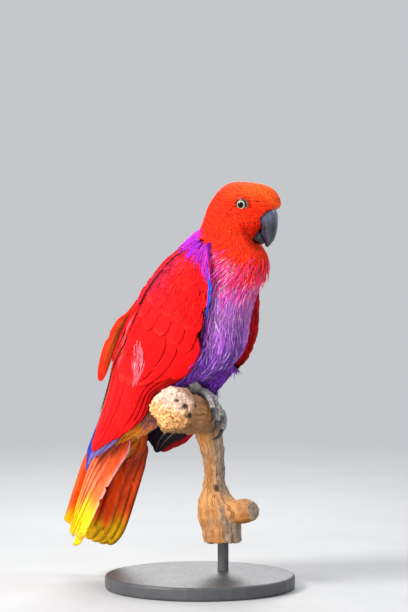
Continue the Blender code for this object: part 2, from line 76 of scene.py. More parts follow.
# Folded wing: (x, z, lean, reach to the back, to the belly, sideways, upper edge, lower edge, thickness).
WING = np.array(
    (
        (33.0, 315.5, LEAN, 38.5, 37.0, 38.0, 66.0, 92.0, 5.5),
        (27.5, 306.0, LEAN, 43.0, 40.5, 42.5, 58.0, 106.0, 7.0),
        (18.7, 293.4, LEAN, 48.5, 46.0, 48.0, 51.0, 121.0, 8.0),
        (6.6, 270.0, LEAN, 57.0, 50.0, 53.0, 47.0, 131.0, 9.0),
        (-5.5, 243.0, LEAN, 61.5, 51.0, 56.0, 44.0, 138.0, 9.0),
        (-22.0, 217.0, LEAN, 60.0, 44.0, 54.0, 41.0, 139.0, 9.0),
        (-38.5, 193.5, LEAN, 55.0, 30.0, 48.0, 38.0, 121.0, 6.5),
        (-52.8, 172.8, LEAN, 46.0, 32.0, 42.5, 37.0, 120.0, 5.0),
        (-64.8, 154.8, LEAN, 41.0, 32.0, 37.0, 38.0, 108.0, 4.0),
        (-74.5, 138.5, LEAN, 38.5, 32.0, 34.5, 41.0, 94.0, 3.0),
        (-83.5, 121.5, LEAN, 37.5, 31.0, 34.0, 46.0, 78.0, 2.2),
        (-88.5, 112.5, LEAN, 36.5, 30.0, 33.5, 50.0, 71.0, 1.8),
        (-94.5, 101.0, LEAN, 34.0, 28.0, 31.0, 56.0, 64.0, 1.4),
    )
)
LEFT_WING_OUT, LEFT_WING_DOWN = 7.0, 7.0
LEFT_WING_SHIFT = (-2.0, -2.5, 0.0)
LEFT_WING_HINGE = (8.0, 0.0, 272.0)
LEFT_WING_DRAWN_IN = (8, 0.62)

# Tail ridge: (x, z, half breadth, slope of the right side, of the left side, how much broader the left side is).
TAIL = np.array(
    (
        (-84.0, 160.0, 22.0, 68.0, 58.0, 5.0),
        (-96.0, 149.5, 32.0, 68.0, 58.0, 11.0),
        (-108.5, 138.0, 40.0, 66.0, 58.0, 12.5),
        (-118.0, 126.0, 44.0, 64.0, 58.0, 11.5),
        (-125.0, 114.0, 46.5, 62.0, 58.0, 9.5),
        (-131.5, 98.0, 48.5, 58.0, 58.0, 6.5),
        (-137.5, 82.0, 50.0, 54.5, 58.0, 3.5),
        (-142.5, 68.0, 49.5, 52.0, 57.0, 1.5),
        (-145.3, 60.0, 46.5, 51.0, 56.0, 0.0),
        (-146.6, 56.5, 40.0, 50.0, 56.0, 0.0),
        (-147.4, 54.0, 27.0, 50.0, 56.0, 0.0),
    )
)
TAIL_LEFT_LONGER = 9.0

EYE_RADIUS = 5.4

# The middle of the branch: (x, y, z), for the grain's direction.
BRANCH = np.array(
    (
        (4.0, -54.0, 173.0),
        (3.5, -50.0, 173.0),
        (3.0, -41.0, 172.0),
        (3.0, -28.0, 168.0),
        (2.0, -13.0, 166.5),
        (-1.5, 3.0, 162.0),
        (-3.5, 15.5, 153.0),
        (-4.0, 23.5, 137.0),
        (-4.0, 28.0, 118.0),
        (-4.6, 29.5, 99.0),
        (-3.5, 29.5, 86.0),
        (0.0, 28.5, 75.0),
        (4.0, 28.0, 61.0),
        (6.0, 28.0, 44.0),
    )
)

# Plumage colours, as linear light.
HEAD_RED = (0.90, 0.022, 0.003)
CROWN_RED = (0.90, 0.105, 0.012)
WING_RED = (0.82, 0.003, 0.004)
DEEP_RED = (0.34, 0.002, 0.005)
SALMON = (0.88, 0.045, 0.022)
COLLAR_PURPLE = (0.36, 0.018, 0.62)
NECK_PINK = (0.84, 0.040, 0.30)
LAVENDER = (0.60, 0.19, 0.74)
BELLY_VIOLET = (0.22, 0.050, 0.56)
DEEP_VIOLET = (0.060, 0.012, 0.20)
COVERT_ORANGE = (0.88, 0.22, 0.004)
TAIL_ORANGE = (0.92, 0.115, 0.028)
# The next colour darkens the left half of the tail: painted shade.
TAIL_SHADE_RED = (0.32, 0.012, 0.004)
TAIL_YELLOW = (0.96, 0.49, 0.005)
FLIGHT_BLUE = (0.030, 0.035, 0.40)
EDGE_BLUE = (0.03, 0.13, 0.95)
FLIGHT_DARK = (0.010, 0.008, 0.012)
# The next colour is painted shade, tinted plum, for the wing's upper feathers near the back.
PLUM_SHADE_RED = (0.34, 0.012, 0.05)

rng = np.random.default_rng(11)

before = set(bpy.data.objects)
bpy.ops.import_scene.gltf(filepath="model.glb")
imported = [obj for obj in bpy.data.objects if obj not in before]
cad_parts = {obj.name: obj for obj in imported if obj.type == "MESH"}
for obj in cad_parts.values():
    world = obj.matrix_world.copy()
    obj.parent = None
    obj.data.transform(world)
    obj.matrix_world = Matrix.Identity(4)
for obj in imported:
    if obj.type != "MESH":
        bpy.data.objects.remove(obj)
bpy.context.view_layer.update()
bpy.ops.object.select_all(action="DESELECT")


def between(rows, place):
    """Rows of a table at places between its stations, on a smooth curve; place may be an array."""
    place = np.clip(np.asarray(place, float), 0, len(rows) - 1)
    first = np.minimum(place.astype(int), len(rows) - 2)
    share = (place - first)[..., None]
    a, b, c, d = (rows[np.clip(first + k, 0, len(rows) - 1)] for k in (-1, 0, 1, 2))
    return b + 0.5 * share * (c - a + share * (2 * a - 5 * b + 4 * c - d + share * (3 * (b - c) + d - a)))


def unit(v):
    return v / np.maximum(np.linalg.norm(v, axis=-1, keepdims=True), 1e-9)


def mix(a, b, share):
    share = np.asarray(share, float)[..., None]
    return np.asarray(a) * (1 - share) + np.asarray(b) * share


def step(low, high, value):
    t = np.clip((np.asarray(value, float) - low) / (high - low), 0, 1)
    return t * t * (3 - 2 * t)


def about_z(points, degrees):
    """Points turned about the upright through the head's pivot, each by its own degrees."""
    a = np.radians(degrees)
    x, y = points[..., 0] - PIVOT_X, points[..., 1]
    return np.stack([PIVOT_X + x * np.cos(a) - y * np.sin(a), x * np.sin(a) + y * np.cos(a), points[..., 2]], -1)


TURNS = np.array([TURN_SHARE.get(k, 0.0 if k < FIRST_TURNED else 1.0) * HEAD_TURN for k in range(len(BODY))])
SPINE = BODY.copy()
SPINE[FIRST_TURNED:, 0] += PIVOT_X


def head_turn(place):
    return np.interp(place, range(len(BODY)), TURNS)


def ring_point(row, angle, grow=0.0):
    """A point round the spine at an angle in radians from the middle of the back towards the bird's right."""
    x, z, lean, back, belly, side = (row[..., k] for k in range(6))
    lean = np.radians(lean)
    depth = np.where(np.cos(angle) > 0, back, belly) + grow
    up = depth * np.cos(angle)
    return np.stack([x - np.sin(lean) * up, -(side + grow) * np.sin(angle), z + np.cos(lean) * up], -1)


def body_point(place, angle, grow=0.0):
    """A point of the body's surface, in millimetres."""
    place, angle = np.broadcast_arrays(np.asarray(place, float), np.asarray(angle, float))
    return about_z(ring_point(between(SPINE, place), angle, grow), head_turn(place))


def out_of_body(place, angle):
    """The direction out of the body's surface at a place."""
    along = unit(body_surface(place + PROBE, angle) - body_surface(place - PROBE, angle))
    across = unit(body_surface(place, angle + PROBE) - body_surface(place, angle - PROBE))
    return unit(np.cross(across, along))


def turned(angle):
    """How many degrees an angle lies from the middle of the back, to either side."""
    return np.abs(np.degrees(np.arctan2(np.sin(angle), np.cos(angle))))


def head_axes(points):
    """How far points lie forward of the head's pivot and aside from it, in the turned head's own frame."""
    x, y = points[:, 0] - PIVOT_X, points[:, 1]
    return x * HEAD_COS + y * HEAD_SIN, -x * HEAD_SIN + y * HEAD_COS


def body_colour(place, angle):
    """Plumage colour over the body, by place along the spine and angle from the back."""
    place, angle = np.broadcast_arrays(np.asarray(place, float), np.asarray(angle, float))
    turn = turned(angle)
    wave = 0.12 * np.sin(5 * angle + 3.1 * place) + 0.08 * np.sin(11 * angle - 5 * place)
    edge = np.interp(turn, (0, 30, 60, 90, 120, 150, 180), (10.35, 10.25, 10.0, 9.7, 9.45, 9.25, 9.2)) + wave
    blend = np.interp(turn, (0, 70, 110, 180), (0.10, 0.16, 0.6, 0.8))
    head = mix(HEAD_RED, CROWN_RED, step(11.5, 13.5, place) * step(90, 30, turn))
    front = mix(NECK_PINK, LAVENDER, step(8.6, 7.7, place + wave))
    front = mix(front, BELLY_VIOLET, step(6.9, 5.6, place + 0.6 * wave))
    middle = 0.55 * step(158, 172, turn) * step(8.2, 7.2, place)
    front = mix(front, DEEP_VIOLET, np.maximum(step(5.2, 4.2, place), middle))
    side = mix(COLLAR_PURPLE, NECK_PINK, step(55, 100, turn) * step(8.2, 9.0, place))
    low = mix(side, front, step(85, 125, turn))
    back = mix(COLLAR_PURPLE, DEEP_RED, step(9.0, 8.3, place + wave))
    back = mix(back, WING_RED, step(7.0, 4.5, place))
    low = mix(back, low, step(40, 80, turn))
    low = mix(low, DEEP_RED, step(4.7, 4.2, place + wave) * step(150, 130, turn))
    low = mix(low, COVERT_ORANGE, step(3.4, 2.8, place + wave) * step(60, 110, turn))
    return mix(low, head, step(-blend / 2, blend / 2, place - edge))


WING_RUN = np.concatenate([[0.0], np.cumsum(np.hypot(*np.diff(WING[:, :2], axis=0).T))])


def left_wing(points):
    """Turns points of the unturned left wing to where it hangs."""
    hinge = np.array(LEFT_WING_HINGE)
    down = Matrix.Rotation(math.radians(-LEFT_WING_DOWN), 3, "Y")
    back = Vector((-math.sin(math.radians(LEAN)), 0, math.cos(math.radians(LEAN))))
    swing = np.array(Matrix.Rotation(math.radians(LEFT_WING_OUT), 3, -back) @ down)
    return (points - hinge) @ swing.T + hinge + np.array(LEFT_WING_SHIFT)


def wing_point(side, run, share, lift=0.0):
    """A point of a wing's outer surface: run in mm from its top, share from the upper edge to the lower."""
    run, share, lift = np.broadcast_arrays(*(np.asarray(v, float) for v in (run, share, lift)))
    place = np.interp(run, WING_RUN, range(len(WING)))
    row = between(WING, place)
    if side > 0:
        station, kept = LEFT_WING_DRAWN_IN
        drawn = WING[station, :2] + (row[..., :2] - WING[station, :2]) * kept
        row[..., :2] = np.where((place > station)[..., None], drawn, row[..., :2])
    angle = np.radians(row[..., 6] + (row[..., 7] - row[..., 6]) * share)
    point = ring_point(row, angle, lift)
    point[..., 1] *= -side
    return left_wing(point) if side > 0 else point


def tail_point(side, place, share, lift=0.0):
    """A point of the tail's outer surface: place in stations down its ridge, share from the ridge to the edge."""
    place, share, lift = np.broadcast_arrays(*(np.asarray(v, float) for v in (place, share, lift)))
    row = between(TAIL, place)
    last = len(TAIL) - 1
    after, before = between(TAIL, np.minimum(place + 0.5, last)), between(TAIL, np.maximum(place - 0.5, 0))
    run = unit(np.stack([after[..., 0] - before[..., 0], 0 * place, after[..., 1] - before[..., 1]], -1))
    down = np.stack([-run[..., 2], 0 * place, run[..., 0]], -1)
    slope = np.radians(np.where(side < 0, row[..., 3], row[..., 4])) * np.minimum(1.0, 0.55 + 0.9 * share)
    level = np.zeros_like(down)
    level[..., 1] = side
    across = level * np.cos(slope)[..., None] + down * np.sin(slope)[..., None]
    through = down * np.cos(slope)[..., None] - level * np.sin(slope)[..., None]
    half = row[..., 2] + (row[..., 5] if side > 0 else 0)
    point = np.stack([row[..., 0], 0 * place, row[..., 1]], -1) + across * (half * share)[..., None]
    if side > 0:
        point = point + run * (TAIL_LEFT_LONGER * share * (place / last) ** 3)[..., None]
    return point - through * lift[..., None]


# Cross-sections of a feather from its left edge over the top to its right edge and back underneath: (across, height).
WISP = np.array(((-1, 0), (0, 1.0), (1, 0)))
SCALE = np.array(((-1, 0), (-0.5, 0.8), (0, 1.3), (0.5, 0.8), (1, 0), (0, -0.3)))
VANE = np.array(
    (
        *zip((-1, -0.78, -0.52, -0.26, -0.055), (0, 0.5, 0.75, 0.9, 0.95)),
        (0, 1.9),
        *zip((0.055, 0.26, 0.52, 0.78, 1), (0.95, 0.9, 0.75, 0.5, 0)),
        *((0.55, -0.4), (0, -0.9), (-0.55, -0.4)),
    )
)


def rounded(root, tip, power=2.0):
    """Half width along a feather, as a share: narrow at its root, then full, then rounded off over its tip."""

    def outline(t):
        grown = 0.30 + 0.70 * step(0, root, t)
        end = np.clip((t - 1 + tip) / tip, 0, 1)
        return grown * np.maximum((1 - end**power) ** 0.5, 0.05)

    return outline


def hairy(t):
    """Half width along a hair-like feather."""
    return (0.45 + 0.55 * step(0, 0.3, t)) * np.maximum(1 - t**2.2, 0.04)


def vanes(surface, start, stop, half, lifts, rows, section, outline, radius=45.0, thick=0.22, uneven=(1.0, 1.0),
          notch=0.0, fray=0.0, sway=0.0, droop=0.0, roll=0.0, wave=0.0):
    """Closed thin feathers laid along a surface from root to tip: (points (feather, row, ring, 3), t, turned over)."""
    start, stop = (np.broadcast_arrays(*(np.asarray(v, float) for v in pair)) for pair in (start, stop))
    count = len(start[0])
    half = np.broadcast_to(np.asarray(half, float), (count,))
    low, high = (np.broadcast_to(np.asarray(v, float), (count,)) for v in lifts)
    t = 1 - (1 - np.linspace(0, 1, rows)) ** 1.3
    tall = t[:, None]
    place = start[0] + (stop[0] - start[0]) * tall
    angle = start[1] + (stop[1] - start[1]) * tall**1.2
    lift = low + (high - low) * tall - droop * tall**3
    centre = surface(place, angle, lift)
    across = surface(place, angle + PROBE, lift) - surface(place, angle - PROBE, lift)
    raised = surface(place, angle, lift + 0.5) - centre
    along = unit(np.gradient(centre, axis=0))
    out = unit(np.cross(across, along))
    out = out * np.sign(np.sum(out * raised, -1, keepdims=True))
    side = unit(np.cross(along, out))
    turned_over = np.sum(side * across) < 0
    if turned_over:
        side = -side
    a, h = section[:, 0], section[:, 1]
    share = np.where(a < 0, uneven[0], uneven[1]) * a
    wide = (half * outline(t)[:, None])[..., None] * share
    if notch:
        cut = rng.random((rows, count, 2)) < notch
        cut[: rows // 4] = False
        depth = rng.uniform(0.12, 0.34, (rows, count, 2)) * cut
        outer = np.where(np.abs(a) > 0.9, 1.0, np.where(np.abs(a) > 0.7, 0.45, 0.0))
        wide = wide * (1 - outer * np.where(a < 0, depth[..., :1], depth[..., 1:]))
    body = np.minimum(1.0, 0.35 + 2.0 * outline(t))[:, None, None]
    rise = h * thick * body - wide**2 / (2 * radius) + roll * wide
    if wave:
        phase = rng.uniform(0, 6.3, (2, count, 1))
        rise = rise + wave * tall[:, :, None] * np.sin(5 * tall[:, :, None] + phase[0] + 2.5 * a) * np.abs(a)
    points = centre[:, :, None] + side[:, :, None] * wide[..., None] + out[:, :, None] * rise[..., None]
    if sway:
        bend = rng.normal(0, sway, (1, count, 1, 1)) * tall[:, :, None, None] ** 1.6
        points = points + side[:, :, None] * bend
    if fray:
        push = rng.uniform(-fray, fray * 0.4, (1, count, len(a), 1)) * tall[:, :, None, None] ** 7
        points = points + along[:, :, None] * push
    return points.transpose(1, 0, 2, 3), t, turned_over


class Coat:
    """One piece of plumage: closed feathers with their colours, their own coordinates and their bake places."""

    def __init__(self, name):
        self.name = name
        self.groups = []

    def add(self, made, section, half, length, colours, uv, patch=0.003):
        """colours is (feather, row, ring, 3) or broadcasts to it; uv is each feather's bake place."""
        points, t, turned_over = made
        count, rows, ring = points.shape[:3]
        colours = np.broadcast_to(colours, points.shape)
        a, h = section.T
        own = np.empty(points.shape)
        own[..., 0] = np.broadcast_to(np.asarray(half, float), (count,))[:, None, None] * a
        own[..., 1] = np.broadcast_to(np.asarray(length, float), (count,))[:, None, None] * t[:, None]
        own[..., 2] = rng.random((count, 1, 1))
        place = np.empty((count, rows, ring, 2))
        patch = np.broadcast_to(np.asarray(patch, float), (count, 2))
        u, v = (np.broadcast_to(c, (count,))[:, None, None] for c in uv)
        place[..., 0] = u + patch[:, :1, None] * (a * 0.44 + 0.04 * (h < -0.05))
        place[..., 1] = v + patch[:, 1:, None] * (0.9 * (t[:, None] - 0.5) + 0.03 * h)
        self.groups.append((points, colours, own, place, turned_over))

    def build(self, look, slot):
        verts, colours, owns, corner_uv, loops, starts = [], [], [], [], [], []
        base = total = 0
        for points, colour, own, place, turned_over in self.groups:
            count, rows, ring = points.shape[:3]
            first = base + (np.arange(count) * rows * ring)[:, None, None]
            r = (np.arange(rows - 1) * ring)[None, :, None]
            k = np.arange(ring)[None, None, :]
            nxt = (k + 1) % ring
            quads = np.stack([first + r + k, first + r + nxt, first + r + ring + nxt, first + r + ring + k], -1)
            root = (first[:, 0] + np.arange(ring)[::-1]).astype(int)
            tip = (first[:, 0] + (rows - 1) * ring + np.arange(ring)).astype(int)
            for faces, size in ((quads.reshape(-1, 4), 4), (root, ring), (tip, ring)):
                loops.append((faces[:, ::-1] if turned_over else faces).reshape(-1))
                starts.append(total + np.arange(len(faces)) * size)
                total += faces.size
            verts.append(points.reshape(-1, 3))
            colours.append(colour.reshape(-1, 3))
            owns.append(own.reshape(-1, 3))
            corner_uv.append(place.reshape(-1, 2))
            base += count * rows * ring
        verts, colours, owns, corner_uv = (np.concatenate(v) for v in (verts, colours, owns, corner_uv))
        loops, starts = np.concatenate(loops), np.concatenate(starts)
        mesh = bpy.data.meshes.new(self.name)
        mesh.vertices.add(len(verts))
        mesh.vertices.foreach_set("co", metres(verts).astype(np.float32).ravel())
        mesh.loops.add(len(loops))
        mesh.loops.foreach_set("vertex_index", loops.astype(np.int32))
        mesh.polygons.add(len(starts))
        mesh.polygons.foreach_set("loop_start", starts.astype(np.int32))
        mesh.update(calc_edges=True)
        mesh.shade_smooth()
        paint_points(mesh, colours, owns)
        layer = mesh.uv_layers.new(name="OFBake")
        layer.uv.foreach_set("vector", np.clip(corner_uv[loops], 0, 1).astype(np.float32).ravel())
        mesh.materials.append(look)
        return settle(linked(mesh), slot)


def metres(points):
    """Points of the tables' millimetres in the scene's metres."""
    return (points - (0, 0, BELOW)) * MM


def linked(mesh):
    """A new object in the scene that bears its mesh's name."""
    piece = bpy.data.objects.new(mesh.name, mesh)
    bpy.context.scene.collection.objects.link(piece)
    return piece


def store(mesh, name, kind, field, values):
    """Stores a value on each of a mesh's points."""
    mesh.attributes.new(name, kind, "POINT").data.foreach_set(field, np.asarray(values, np.float32).ravel())


def paint_points(mesh, colours, owns):
    """Stores plumage colours and the feathers' own coordinates on a mesh's points."""
    full = np.ones((len(colours), 4), np.float32)
    full[:, :3] = np.clip(colours, 0, 1)
    store(mesh, "plumage", "FLOAT_COLOR", "color", full)
    store(mesh, "vane", "FLOAT_VECTOR", "vector", owns)


def settle(piece, slot, *nodes):
    """Makes a finished piece ride with the model and lets it stand for CAD nodes; its slot is not used."""
    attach(piece, "root")
    if nodes:
        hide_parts(*nodes)
    return piece


# Materials


def shader(name, rough):
    look = bpy.data.materials.new(name)
    look.use_nodes = True
    body = look.node_tree.nodes["Principled BSDF"]
    body.inputs["Roughness"].default_value = rough
    return look, look.node_tree, body


def feed(tree, made, **values):
    """Gives a node's sockets values, or links other nodes' outputs to them. None leaves a socket alone."""
    for name, value in values.items():
        socket = made.inputs[int(name) if name.isdigit() else name.replace("_", " ")]
        if isinstance(value, bpy.types.NodeSocket):
            tree.links.new(value, socket)
        elif value is not None:
            socket.default_value = (*value, 1.0) if socket.type == "RGBA" else value
    return made


def node(tree, kind, **values):
    """A new node. Values whose names start with in_ go to its sockets, and the others are its settings."""
    made = tree.nodes.new(kind)
    for key, value in values.items():
        if not key.startswith("in_"):
            setattr(made, key, value)
    return feed(tree, made, **{key[3:]: value for key, value in values.items() if key.startswith("in_")})


def object_place(tree):
    return tree.nodes.new("ShaderNodeTexCoord").outputs["Object"]


def stored(tree, name, output="Vector"):
    """What is stored on a mesh's points under a name."""
    return node(tree, "ShaderNodeAttribute", attribute_name=name).outputs[output]


def maths(tree, operation, a, b=None):
    return node(tree, "ShaderNodeMath", operation=operation, in_0=a, in_1=b).outputs[0]


def blend_colours(tree, factor, a, b, mode="MIX"):
    made = node(tree, "ShaderNodeMix", data_type="RGBA", blend_type=mode, in_0=factor, in_6=a, in_7=b)
    return made.outputs[2]


def remap(tree, value, low, high, to_low=0.0, to_high=1.0):
    made = node(tree, "ShaderNodeMapRange", interpolation_type="SMOOTHSTEP", in_0=value, in_1=low, in_2=high,
                in_3=to_low, in_4=to_high)
    return made.outputs[0]


def toned(tree, value, low, high, first, second):
    """The first colour where a value is low, running into the second where it is high."""
    return blend_colours(tree, remap(tree, value, low, high), first, second)


def noise(tree, place, detail, rough=0.5, scale=1.0):
    return node(tree, "ShaderNodeTexNoise", in_Vector=place, in_Scale=scale, in_Detail=detail,
                in_Roughness=rough).outputs[0]


def bump(tree, body, height, strength, distance):
    """Raises a surface by a height."""
    raised = node(tree, "ShaderNodeBump", in_Strength=strength, in_Distance=distance, in_Height=height)
    feed(tree, body, Normal=raised.outputs[0])


def new_group(name, outputs, **inputs):
    """An empty shader node group: its tree, what comes in, and the node that its results go to."""
    tree = bpy.data.node_groups.new(name, "ShaderNodeTree")
    for socket, value in inputs.items():
        tree.interface.new_socket(name=socket, in_out="INPUT", socket_type="NodeSocketFloat").default_value = value
    for socket in outputs:
        tree.interface.new_socket(name=socket, in_out="OUTPUT", socket_type="NodeSocketFloat")
    return tree, tree.nodes.new("NodeGroupInput").outputs, tree.nodes.new("NodeGroupOutput")


def barbs_group():
    """Fine barbs running out from a feather's shaft, from its own coordinates in millimetres."""
    tree, given, leave = new_group("feather barbs", ("Barbs", "Patches", "Each"), Spacing=1.1, Slant=1.2)
    aside, along, each = node(tree, "ShaderNodeSeparateXYZ", in_0=stored(tree, "vane")).outputs
    across = maths(tree, "ABSOLUTE", aside)
    run = maths(tree, "SUBTRACT", along, maths(tree, "MULTIPLY", across, given["Slant"]))
    feed(tree, leave, Each=each)
    for name, stretch, apart, detail, rough in (
        ("Barbs", given["Spacing"], 60.0, 3.0, 0.65),
        ("Patches", 0.14, 90.0, 2.0, 0.5),
    ):
        place = node(tree, "ShaderNodeCombineXYZ", in_0=maths(tree, "MULTIPLY", run, stretch),
                     in_1=maths(tree, "MULTIPLY", across, 0.10), in_2=maths(tree, "MULTIPLY", each, apart))
        feed(tree, leave, **{name: noise(tree, place.outputs[0], detail, rough)})
    return tree


def speckle_group():
    """Broad and fine noise on object coordinates, for uneven tone."""
    tree, given, leave = new_group("uneven tone", ("Broad", "Fine"), Scale=60.0)
    place = object_place(tree)
    for name, factor, detail in (("Broad", 1.0, 3.0), ("Fine", 9.0, 5.0)):
        scale = maths(tree, "MULTIPLY", given["Scale"], factor)
        feed(tree, leave, **{name: noise(tree, place, detail, 0.6, scale)})
    return tree


def use_group(tree, group, **values):
    """The outputs of a group, used in a tree with values for its sockets."""
    return feed(tree, node(tree, "ShaderNodeGroup", node_tree=group), **values).outputs


BARBS = barbs_group()
UNEVEN = speckle_group()


def plumage(name, rough, sheen, spacing, contrast, relief, gloss=0.0, tint=(1.0, 0.75, 0.7)):
    """Feathers: their painted colour, streaked by barbs, with a soft sheen."""
    look, tree, body = shader(name, rough)
    barbs = use_group(tree, BARBS, Spacing=spacing)
    tone = use_group(tree, UNEVEN, Scale=70.0)
    streak = remap(tree, barbs["Barbs"], 0.25, 0.75, 1 - contrast, 1 + 0.6 * contrast)
    patch = remap(tree, barbs["Patches"], 0.3, 0.7, 0.84, 1.14)
    each = remap(tree, barbs["Each"], 0.0, 1.0, 0.86, 1.14)
    broad = remap(tree, tone["Broad"], 0.3, 0.7, 0.90, 1.10)
    whole = maths(tree, "MULTIPLY", maths(tree, "MULTIPLY", streak, patch), maths(tree, "MULTIPLY", each, broad))
    grey = node(tree, "ShaderNodeCombineColor", in_0=whole, in_1=whole, in_2=whole)
    colour = blend_colours(tree, 1.0, stored(tree, "plumage", "Color"), grey.outputs[0], "MULTIPLY")
    bump(tree, body, barbs["Barbs"], relief, 0.0004)
    feed(tree, body, Base_Color=colour, Roughness=remap(tree, barbs["Barbs"], 0.3, 0.7, rough + 0.1, rough - 0.08),
         Sheen_Weight=sheen, Sheen_Roughness=0.45, Sheen_Tint=tint, Specular_IOR_Level=0.10, Coat_Weight=gloss,
         Coat_Roughness=0.35)
    return look


# Where feathers grow


def beyond(surface, low, high):
    """The same surface, carried on in a straight line past the ends of its first coordinate."""

    def carried(place, angle, lift=0.0):
        place, angle, lift = np.broadcast_arrays(*(np.asarray(v, float) for v in (place, angle, lift)))
        held = np.clip(place, low, high)
        d = (high - low) * 0.02
        before, after = np.maximum(held - d, low), np.minimum(held + d, high)
        slope = (surface(after, angle, lift) - surface(before, angle, lift)) / (after - before)[..., None]
        return surface(held, angle, lift) + slope * (place - held)[..., None]

    return carried


body_surface = beyond(body_point, 0.0, len(BODY) - 1.0)


def mm_share(place, angle, d=0.03):
    """How much of the spine's coordinate one millimetre is, at a place of the body."""
    return 2 * d / np.linalg.norm(body_surface(place + d, angle) - body_surface(place - d, angle), axis=-1)


def area_at(surface, place, angle):
    """A surface's area per unit of its two coordinates, at places."""
    along = surface(place + PROBE, angle) - surface(place - PROBE, angle)
    across = surface(place, angle + PROBE) - surface(place, angle - PROBE)
    return np.linalg.norm(np.cross(along, across), axis=-1) / (4 * PROBE * PROBE)


def spread(surface, spacing, places, angles, keep=None, size=None):
    """Roots over a patch of surface, none nearer to another than the spacing (times size at the place)."""
    tries = 3000
    area = area_at(surface, rng.uniform(*places, tries), rng.uniform(*angles, tries))
    whole = area.mean() * (places[1] - places[0]) * (angles[1] - angles[0])
    tries = 4 * int(5 * whole / spacing**2)
    densest = area.max() * 1.02
    place, angle = rng.uniform(*places, tries), rng.uniform(*angles, tries)
    if keep is not None:
        good = keep(place, angle)
        place, angle = place[good], angle[good]
    good = rng.random(len(place)) < area_at(surface, place, angle) / densest
    place, angle = place[good], angle[good]
    points = surface(place, angle)
    reach = spacing * (size(place, angle) if size is not None else np.ones(len(place)))
    widest = reach.max() if len(reach) else 1.0
    keys = np.floor(points / widest).astype(int)
    cells, chosen = {}, []
    beside = tuple(itertools.product((-1, 0, 1), repeat=3))
    for k, ((x, y, z), key, near) in enumerate(zip(points.tolist(), keys.tolist(), reach.tolist())):
        others = (cells.get((key[0] + i, key[1] + j, key[2] + l), ()) for i, j, l in beside)
        if all((a - x) ** 2 + (b - y) ** 2 + (c - z) ** 2 >= near * near for cell in others for a, b, c in cell):
            cells.setdefault(tuple(key), []).append((x, y, z))
            chosen.append(k)
    return place[chosen], angle[chosen]


def shaded(colour, t, root=0.5, tip=1.12, vary=0.10):
    """Colours for feathers from one colour each: darker at the root, a painted shade where neighbouring feathers cover
    it, lighter at the tip, and each a little its own.
    """
    colour = np.asarray(colour, float)
    each = 1 + rng.normal(0, vary, (len(colour), 1))
    ramp = np.interp(t, (0, 0.45, 0.85, 1), (root, 0.9, 1.0, tip))
    return (colour * each)[:, None, None] * ramp[:, None, None]


def bake_place(place, angle):
    """Where a body feather's root lies on the unwrapped skin."""
    return 0.01 + 0.98 * (angle / (2 * np.pi) % 1.0), 0.02 + 0.96 * np.clip(place, 0, 16) / 16


# A folded wing's edges over the body: places along the spine, and the degrees of the upper and the lower edge there.
WING_EDGE_PLACES = (1, 2, 3, 5, 6, 7, 8, 9)
WING_UPPER_EDGE = (38, 38, 37, 41, 44, 47, 51, 58)
WING_LOWER_EDGE = (94, 108, 120, 139, 138, 131, 121, 106)
HIDDEN_INSIDE = 9.0


def lower_edge(place):
    return np.interp(place, WING_EDGE_PLACES, WING_LOWER_EDGE)


def under_wing(place, angle):
    """Whether a place of the body is hidden by a folded wing."""
    turn = turned(angle)
    low = np.interp(place, WING_EDGE_PLACES, WING_UPPER_EDGE) + HIDDEN_INSIDE
    return (place < 8.7) & (turn > low) & (turn < lower_edge(place) - HIDDEN_INSIDE)


def eye_ring(place, angle, reach):
    """Whether a place of the head lies within reach of an eye."""
    points = body_point(place, angle)
    near = np.zeros(len(points), bool)
    for side in SIDES:
        near |= np.linalg.norm(points - eye_middle(side), axis=-1) < reach
    return near


def on_bill(points):
    """How far points of the head lie past the edge of the feathers, on the bill: 0 to 1."""
    forward = head_axes(points)[0]
    edge = np.interp(forward, (31.0, 33.0, 35.5, 40.5, 45.5), (331.0, 340.0, 345.0, 349.5, 351.5))
    return step(0.0, 1.5, edge - points[:, 2]) * step(31.0, 32.5, forward) * step(329.0, 331.0, points[:, 2])


def eye_middle(side):
    low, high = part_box("eye_right" if side < 0 else "eye_left")
    return (np.array(low) + np.array(high)) / 2 / MM + (0, 0, BELOW)


def laid(place, angle, length, drift):
    """Where feathers end that lie from their roots towards the tail, length in millimetres."""
    halfway = (place + (place - length * mm_share(place, angle))) / 2
    return place - length * mm_share(halfway, angle), angle + drift


def body_feathers(coat, place, angle, length, half, lifts, rows, section, outline, colour, drift=0.03, **ways):
    """Adds feathers rooted at places of the body to a coat, lying back along it."""
    drift = rng.normal(0, drift, len(place))
    stop = laid(place, angle, length, drift)
    made = vanes(body_surface, (place, angle), stop, half, lifts, rows, section, outline, **ways)
    coat.add(made, section, half, length, colour(place, angle, made[1]), bake_place(place, angle))


def lay(coat, surface, start, stop, half, lifts, rows, section, outline, length, colour, shades, uv, own=None,
        **ways):
    """Adds feathers that lie on a surface, each with one colour; own is the half width that its barbs are drawn for."""
    made = vanes(surface, start, stop, half, lifts, rows, section, outline, **ways)
    coat.add(made, section, half if own is None else own, length, shaded(colour, made[1], *shades), uv)


def mottled(place, angle, along=0.25, round_=0.06):
    """Plumage colours read a little way off each root, so that neighbouring colours interlock."""
    return body_colour(place + rng.normal(0, along, len(place)), angle + rng.normal(0, round_, len(place)))


def head_colours(place, angle, t):
    base = mottled(place, angle, 0.12, 0.04)
    warm = rng.random(len(place)) * step(60, 140, turned(angle))
    base = base * (1 + 0.9 * warm[:, None] * np.array((0.0, 1.0, 0.6)))
    return shaded(base, t, 0.92, 1.04, 0.04)


# Two rows of feathers under each cheek: spacing, places, forward share, drop, scatter, lengths, widest half width,
# lifts, points along each, most painted shade (a mix towards deep red) and brightness of the tip.
CHIN_ROWS = (
    (0.9, (11.8, 13.3), 0.52, -0.85, 0.08, (5.0, 8.0), 0.8, (0.2, 1.1), 6, 0.0, 1.0),
    (0.8, (13.1, 14.3), 0.16, -1.0, 0.06, (7.0, 11.0), 0.75, (0.6, 1.6), 7, 0.4, 0.8),
)
